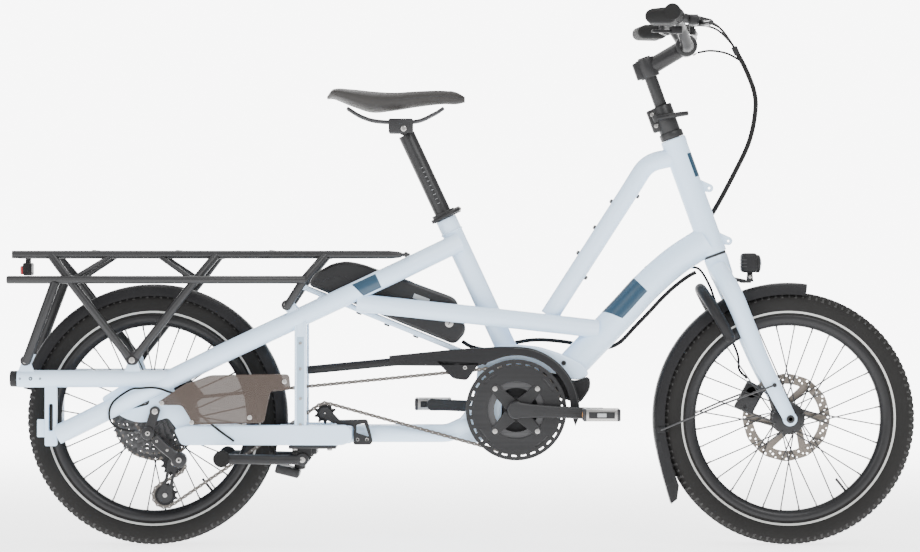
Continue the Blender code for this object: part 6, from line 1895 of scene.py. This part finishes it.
def brake_lever(name, body, node, side):
    path = flowing(
        on_side(
            ((0.479, 0.16, 1.056), (0.486, 0.19, 1.052), (0.482, 0.235, 1.05), (0.49, 0.29, 1.049)),
            side,
        ),
        28,
    )
    radii = [0.0055 * (1.15 - 0.25 * min(1, k / 14) + 0.12 * max(0, (k - 20) / 7)) for k in range(28)]
    made = Shape().add(tube(path, radii, 20, flat=0.85), SATIN)
    pivot = at_side((0.479, 0.16, 1.056), side)
    made.add(rod(pivot - Vector((0, 0, 0.0068)), pivot + Vector((0, 0, 0.0068)), 0.0062, 24), BLACK)
    made.add(bolt(pivot + Vector((0, 0, 0.0066)), (0, 0, 1), 0.003, 0.0003), STEEL)
    made.place(name, body, [node], "black_metal")


def display():
    made = Shape()
    made.add(
        box((0.4835, 0.0, 1.0695), (0.048, 0.078, 0.014), pitch=math.radians(14), edge=0.0045, segments=4),
        PLASTIC,
    )
    made.add(box((0.485, 0.0, 1.0763), (0.036, 0.06, 0.001), pitch=math.radians(14), edge=0.0004), SCREEN)
    for k in (-1, 0, 1):
        made.add(
            box((0.464, k * 0.014, 1.0812), (0.005, 0.009, 0.0012), pitch=math.radians(14), edge=0.0005),
            BLACK,
        )
    made.add(box((0.468, 0.0, 1.053), (0.01, 0.02, 0.024), edge=0.002), PLASTIC)
    made.place("display_unit", "cockpit", ["display"], "black_plastic")


def shift_lever():
    pivot = Vector((0.427, -0.152, 1.0425))
    made = Shape().add(
        rod(pivot - Vector((0, 0, 0.008)), pivot + Vector((0, 0, 0.007)), 0.014, 36, 0.002),
        PLASTIC,
    )
    made.add(bolt(pivot - Vector((0, 0, 0.0078)), (0, 0, -1), 0.005, 0.0002), STEEL)
    made.add(
        box((0.401, -0.163, 1.0385), (0.048, 0.014, 0.0058), yaw=math.radians(24), edge=0.0022),
        PLASTIC,
    )
    for k in range(4):
        made.add(
            box(
                (0.387 + 0.0045 * k, -0.1692 + 0.002 * k, 1.0416), (0.0014, 0.01, 0.001),
                yaw=math.radians(24), edge=0.0003, segments=1,
            ),
            RUBBER,
        )
    made.place("shift_paddle", "shift_lever", ["shift_lever"], "black_plastic")


def turn_lever():
    path = [(0.393, -0.025, 0.869), (0.415, -0.0285, 0.873), (0.438, -0.0265, 0.877), (0.458, -0.018, 0.88)]
    smooth = flowing(path, 20)
    made = Shape().add(tube(smooth, [0.006 - 0.00006 * k for k in range(20)], 20), SATIN)
    pivot = Vector(path[0])
    made.add(rod(pivot - 0.007 * HEAD_AXIS, pivot + 0.007 * HEAD_AXIS, 0.0062, 24), BLACK)
    made.place("turn_clamp_lever", "turn_lever", ["turn_lever"], "black_metal")


stem()
handlebar()
grip("right_grip_sleeve", "right_grip", -1)
grip("left_grip_sleeve", "left_grip", 1)
brake_body("right_brake_pump", "right_brake_body", -1)
brake_body("left_brake_pump", "left_brake_body", 1)
brake_lever("right_brake_blade", "right_brake_lever", "right_brake_lever", -1)
brake_lever("left_brake_blade", "left_brake_lever", "left_brake_lever", 1)
display()
shift_lever()
turn_lever()


# Cables


SLEEVE = [
    (0.556, 0.0, 1.011), (0.578, 0.0, 0.97), (0.5955, 0.0, 0.922), (0.597, 0.002, 0.88),
    (0.584, 0.006, 0.82),
    (0.552, 0.014, 0.752), (0.518, 0.028, 0.688), (0.492, 0.038, 0.648), (0.473, 0.0405, 0.626),
]


def spiral(made, path, radius, pitch, thick, finish):
    """The raised winding of a cable wrap."""
    walked, points = 0.0, []
    across = None
    for a, b in zip(path, path[1:]):
        ahead = (b - a).normalized()
        across = (across or Y) - (across or Y).dot(ahead) * ahead
        across.normalize()
        over = ahead.cross(across)
        steps = max(1, int((b - a).length / 0.0006))
        for k in range(steps):
            turn = math.tau * walked / pitch
            points.append(a.lerp(b, k / steps) + radius * (math.cos(turn) * across + math.sin(turn) * over))
            walked += (b - a).length / steps
    made.add(tube(points, thick, 6), finish)


def cable_bundle():
    smooth = flowing(SLEEVE, 97)
    cut = next(k for k, p in enumerate(smooth) if p.z < 0.8)
    made = Shape()
    made.add(tube(smooth[: cut + 1], 0.0048, 14), RUBBER)
    spiral(made, smooth[: cut + 1], 0.0045, 0.006, 0.0009, RUBBER)
    for lead in (
        [
            (0.463, -0.1405, 1.06), (0.485, -0.105, 1.066), (0.518, -0.045, 1.056),
            (0.545, -0.006, 1.028), (0.56, 0.0, 1.003),
        ],
        [
            (0.463, 0.1405, 1.06), (0.485, 0.105, 1.066), (0.518, 0.045, 1.056), (0.545, 0.006, 1.028),
            (0.56, 0.0, 1.003),
        ],
        [(0.508, 0.0, 1.064), (0.528, 0.0, 1.052), (0.55, 0.0, 1.022), (0.56, 0.0, 1.003)],
        [(0.479, -0.006, 1.004), (0.506, -0.005, 1.008), (0.538, -0.002, 1.003), (0.564, 0.0, 0.99)],
    ):
        made.add(tube(flowing(lead, 28), 0.0022, 12), RUBBER)
    made.add(rod((0.5535, 0, 1.0165), (0.561, 0, 1.0), 0.0062, 24), PLASTIC)
    upper = made.place("cable_wrap_upper", None, ["cable_bundle"], "black_rubber")
    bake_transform(upper)
    made = Shape()
    made.add(tube(smooth[cut:], 0.0048, 14), RUBBER)
    spiral(made, smooth[cut:], 0.0045, 0.006, 0.0009, RUBBER)
    lower = made.place("cable_wrap_lower", None, [], "black_rubber")
    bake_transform(lower)


def front_brake_hose():
    path = [
        (0.46, 0.034, 0.566), (0.485, 0.042, 0.562), (0.506, 0.052, 0.53), (0.52, 0.068, 0.495),
        (0.544, 0.08, 0.44), (0.566, 0.072, 0.386), (0.568, 0.056, 0.356), (0.583, 0.044, 0.338),
    ]
    made = Shape().add(tube(flowing(path, 57), 0.0025, 14), RUBBER)
    hose = made.place("front_hose", None, ["front_brake_hose"], "black_rubber")
    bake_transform(hose)


def wiring():
    loom = [
        (0.0, 0.03, 0.413), (0.02, 0.048, 0.402), (0.06, 0.05, 0.396), (0.095, 0.048, 0.408),
        (0.15, 0.046, 0.417), (0.215, 0.044, 0.412), (0.27, 0.042, 0.4),
        (0.315, 0.028, 0.408), (0.353, 0.005, 0.446), (0.3795, 0.0, 0.4735), (0.405, 0.0, 0.501),
        (0.431, 0.0, 0.5255), (0.458, 0.0, 0.546), (0.476, 0.0, 0.556),
    ]
    smooth = flowing(loom, 92)
    made = Shape().add(tube(smooth, 0.004, 14), RUBBER)
    spiral(made, smooth, 0.0037, 0.0065, 0.0008, RUBBER)
    made.place("wiring_wrap", "root", ["wiring_loom"], "black_rubber")
    cable = [
        (-0.463, -0.094, 0.214), (-0.496, -0.094, 0.238), (-0.528, -0.094, 0.265),
        (-0.5766, -0.0937, 0.306), (-0.595, -0.0955, 0.314), (-0.608, -0.1008, 0.319),
        (-0.625, -0.1042, 0.3225),
        (-0.65, -0.1042, 0.3215), (-0.673, -0.104, 0.318), (-0.7077, -0.104, 0.292),
        (-0.714, -0.1, 0.26), (-0.695, -0.096, 0.24), (-0.656, -0.094, 0.233),
    ]
    made = Shape().add(tube(flowing(cable, 60), 0.0022, 12), RUBBER)
    made.add(rod((-0.664, -0.0942, 0.2335), (-0.652, -0.0938, 0.2328), 0.003, 16), DARK_STEEL)
    made.place("gear_cable", "root", ["shift_cable"], "black_rubber")


cable_bundle()
front_brake_hose()
wiring()


# Camera, light and floor


def graded(tree, coordinate, near, far):
    """A value that rises along Y, from near = (y, value) to far = (y, value)."""
    place = tree.nodes.new("ShaderNodeTexCoord")
    split = tree.nodes.new("ShaderNodeSeparateXYZ")
    level = tree.nodes.new("ShaderNodeMapRange")
    level.inputs["From Min"].default_value = near[0]
    level.inputs["From Max"].default_value = far[0]
    level.inputs["To Min"].default_value = near[1]
    level.inputs["To Max"].default_value = far[1]
    tree.links.new(place.outputs[coordinate], split.inputs["Vector"])
    tree.links.new(split.outputs["Y"], level.inputs["Value"])
    return level


def studio_world():
    """White light all round, brightest beyond the bicycle, so that the backdrop is white."""
    world = bpy.data.worlds.new("studio")
    world.use_nodes = True
    tree = world.node_tree
    level = graded(tree, "Generated", (0.8, 0.72), (0.975, 8.0))
    tree.links.new(level.outputs["Result"], tree.nodes["Background"].inputs["Strength"])
    tree.nodes["Background"].inputs["Color"].default_value = (1.0, 1.0, 1.0, 1)
    bpy.context.scene.world = world


def studio_floor():
    """A pale floor that glows more with distance, so that it runs into the backdrop."""
    floor = bpy.data.meshes.new("floor")
    floor.from_pydata([(-9, -9, 0), (9, -9, 0), (9, 9, 0), (-9, 9, 0)], [], [(0, 1, 2, 3)])
    ground = bpy.data.objects.new("floor", floor)
    bpy.context.scene.collection.objects.link(ground)
    pale = bpy.data.materials.new("pale_floor")
    pale.use_nodes = True
    tree = pale.node_tree
    shader = tree.nodes["Principled BSDF"]
    shader.inputs["Base Color"].default_value = (0.9, 0.9, 0.9, 1)
    shader.inputs["Roughness"].default_value = 0.9
    shader.inputs["Emission Color"].default_value = (1.0, 1.0, 1.0, 1)
    level = graded(tree, "Object", (0.3, 2.2), (6.0, 7.2))
    level.interpolation_type = "SMOOTHSTEP"
    tree.links.new(level.outputs["Result"], shader.inputs["Emission Strength"])
    floor.materials.append(pale)


def studio_lamp(name, spot, size, power):
    """A square lamp aimed at the middle of the bicycle."""
    lamp = bpy.data.lights.new(name, "AREA")
    lamp.energy = power
    lamp.size = size
    holder = bpy.data.objects.new(name, lamp)
    holder.location = spot
    aim = Vector((0, 0, 0.45)) - Vector(spot)
    holder.rotation_euler = aim.to_track_quat("-Z", "Y").to_euler()
    bpy.context.scene.collection.objects.link(holder)


def view_camera():
    """A long lens, level with the middle of the bicycle, looking along +Y."""
    data = bpy.data.cameras.new("view")
    data.lens = CAMERA_LENS
    data.sensor_width = 36
    data.clip_end = 60
    camera = bpy.data.objects.new("view", data)
    camera.location = CAMERA_PLACE
    camera.rotation_euler = (math.pi / 2, 0, 0)
    bpy.context.scene.collection.objects.link(camera)
    bpy.context.scene.camera = camera


studio_floor()
studio_world()
studio_lamp("key", (1.6, -3.2, 3.4), 2.6, 130)
studio_lamp("fill", (-2.8, -3.0, 2.0), 2.8, 70)
studio_lamp("top", (0.0, 0.6, 3.6), 3.0, 90)
view_camera()
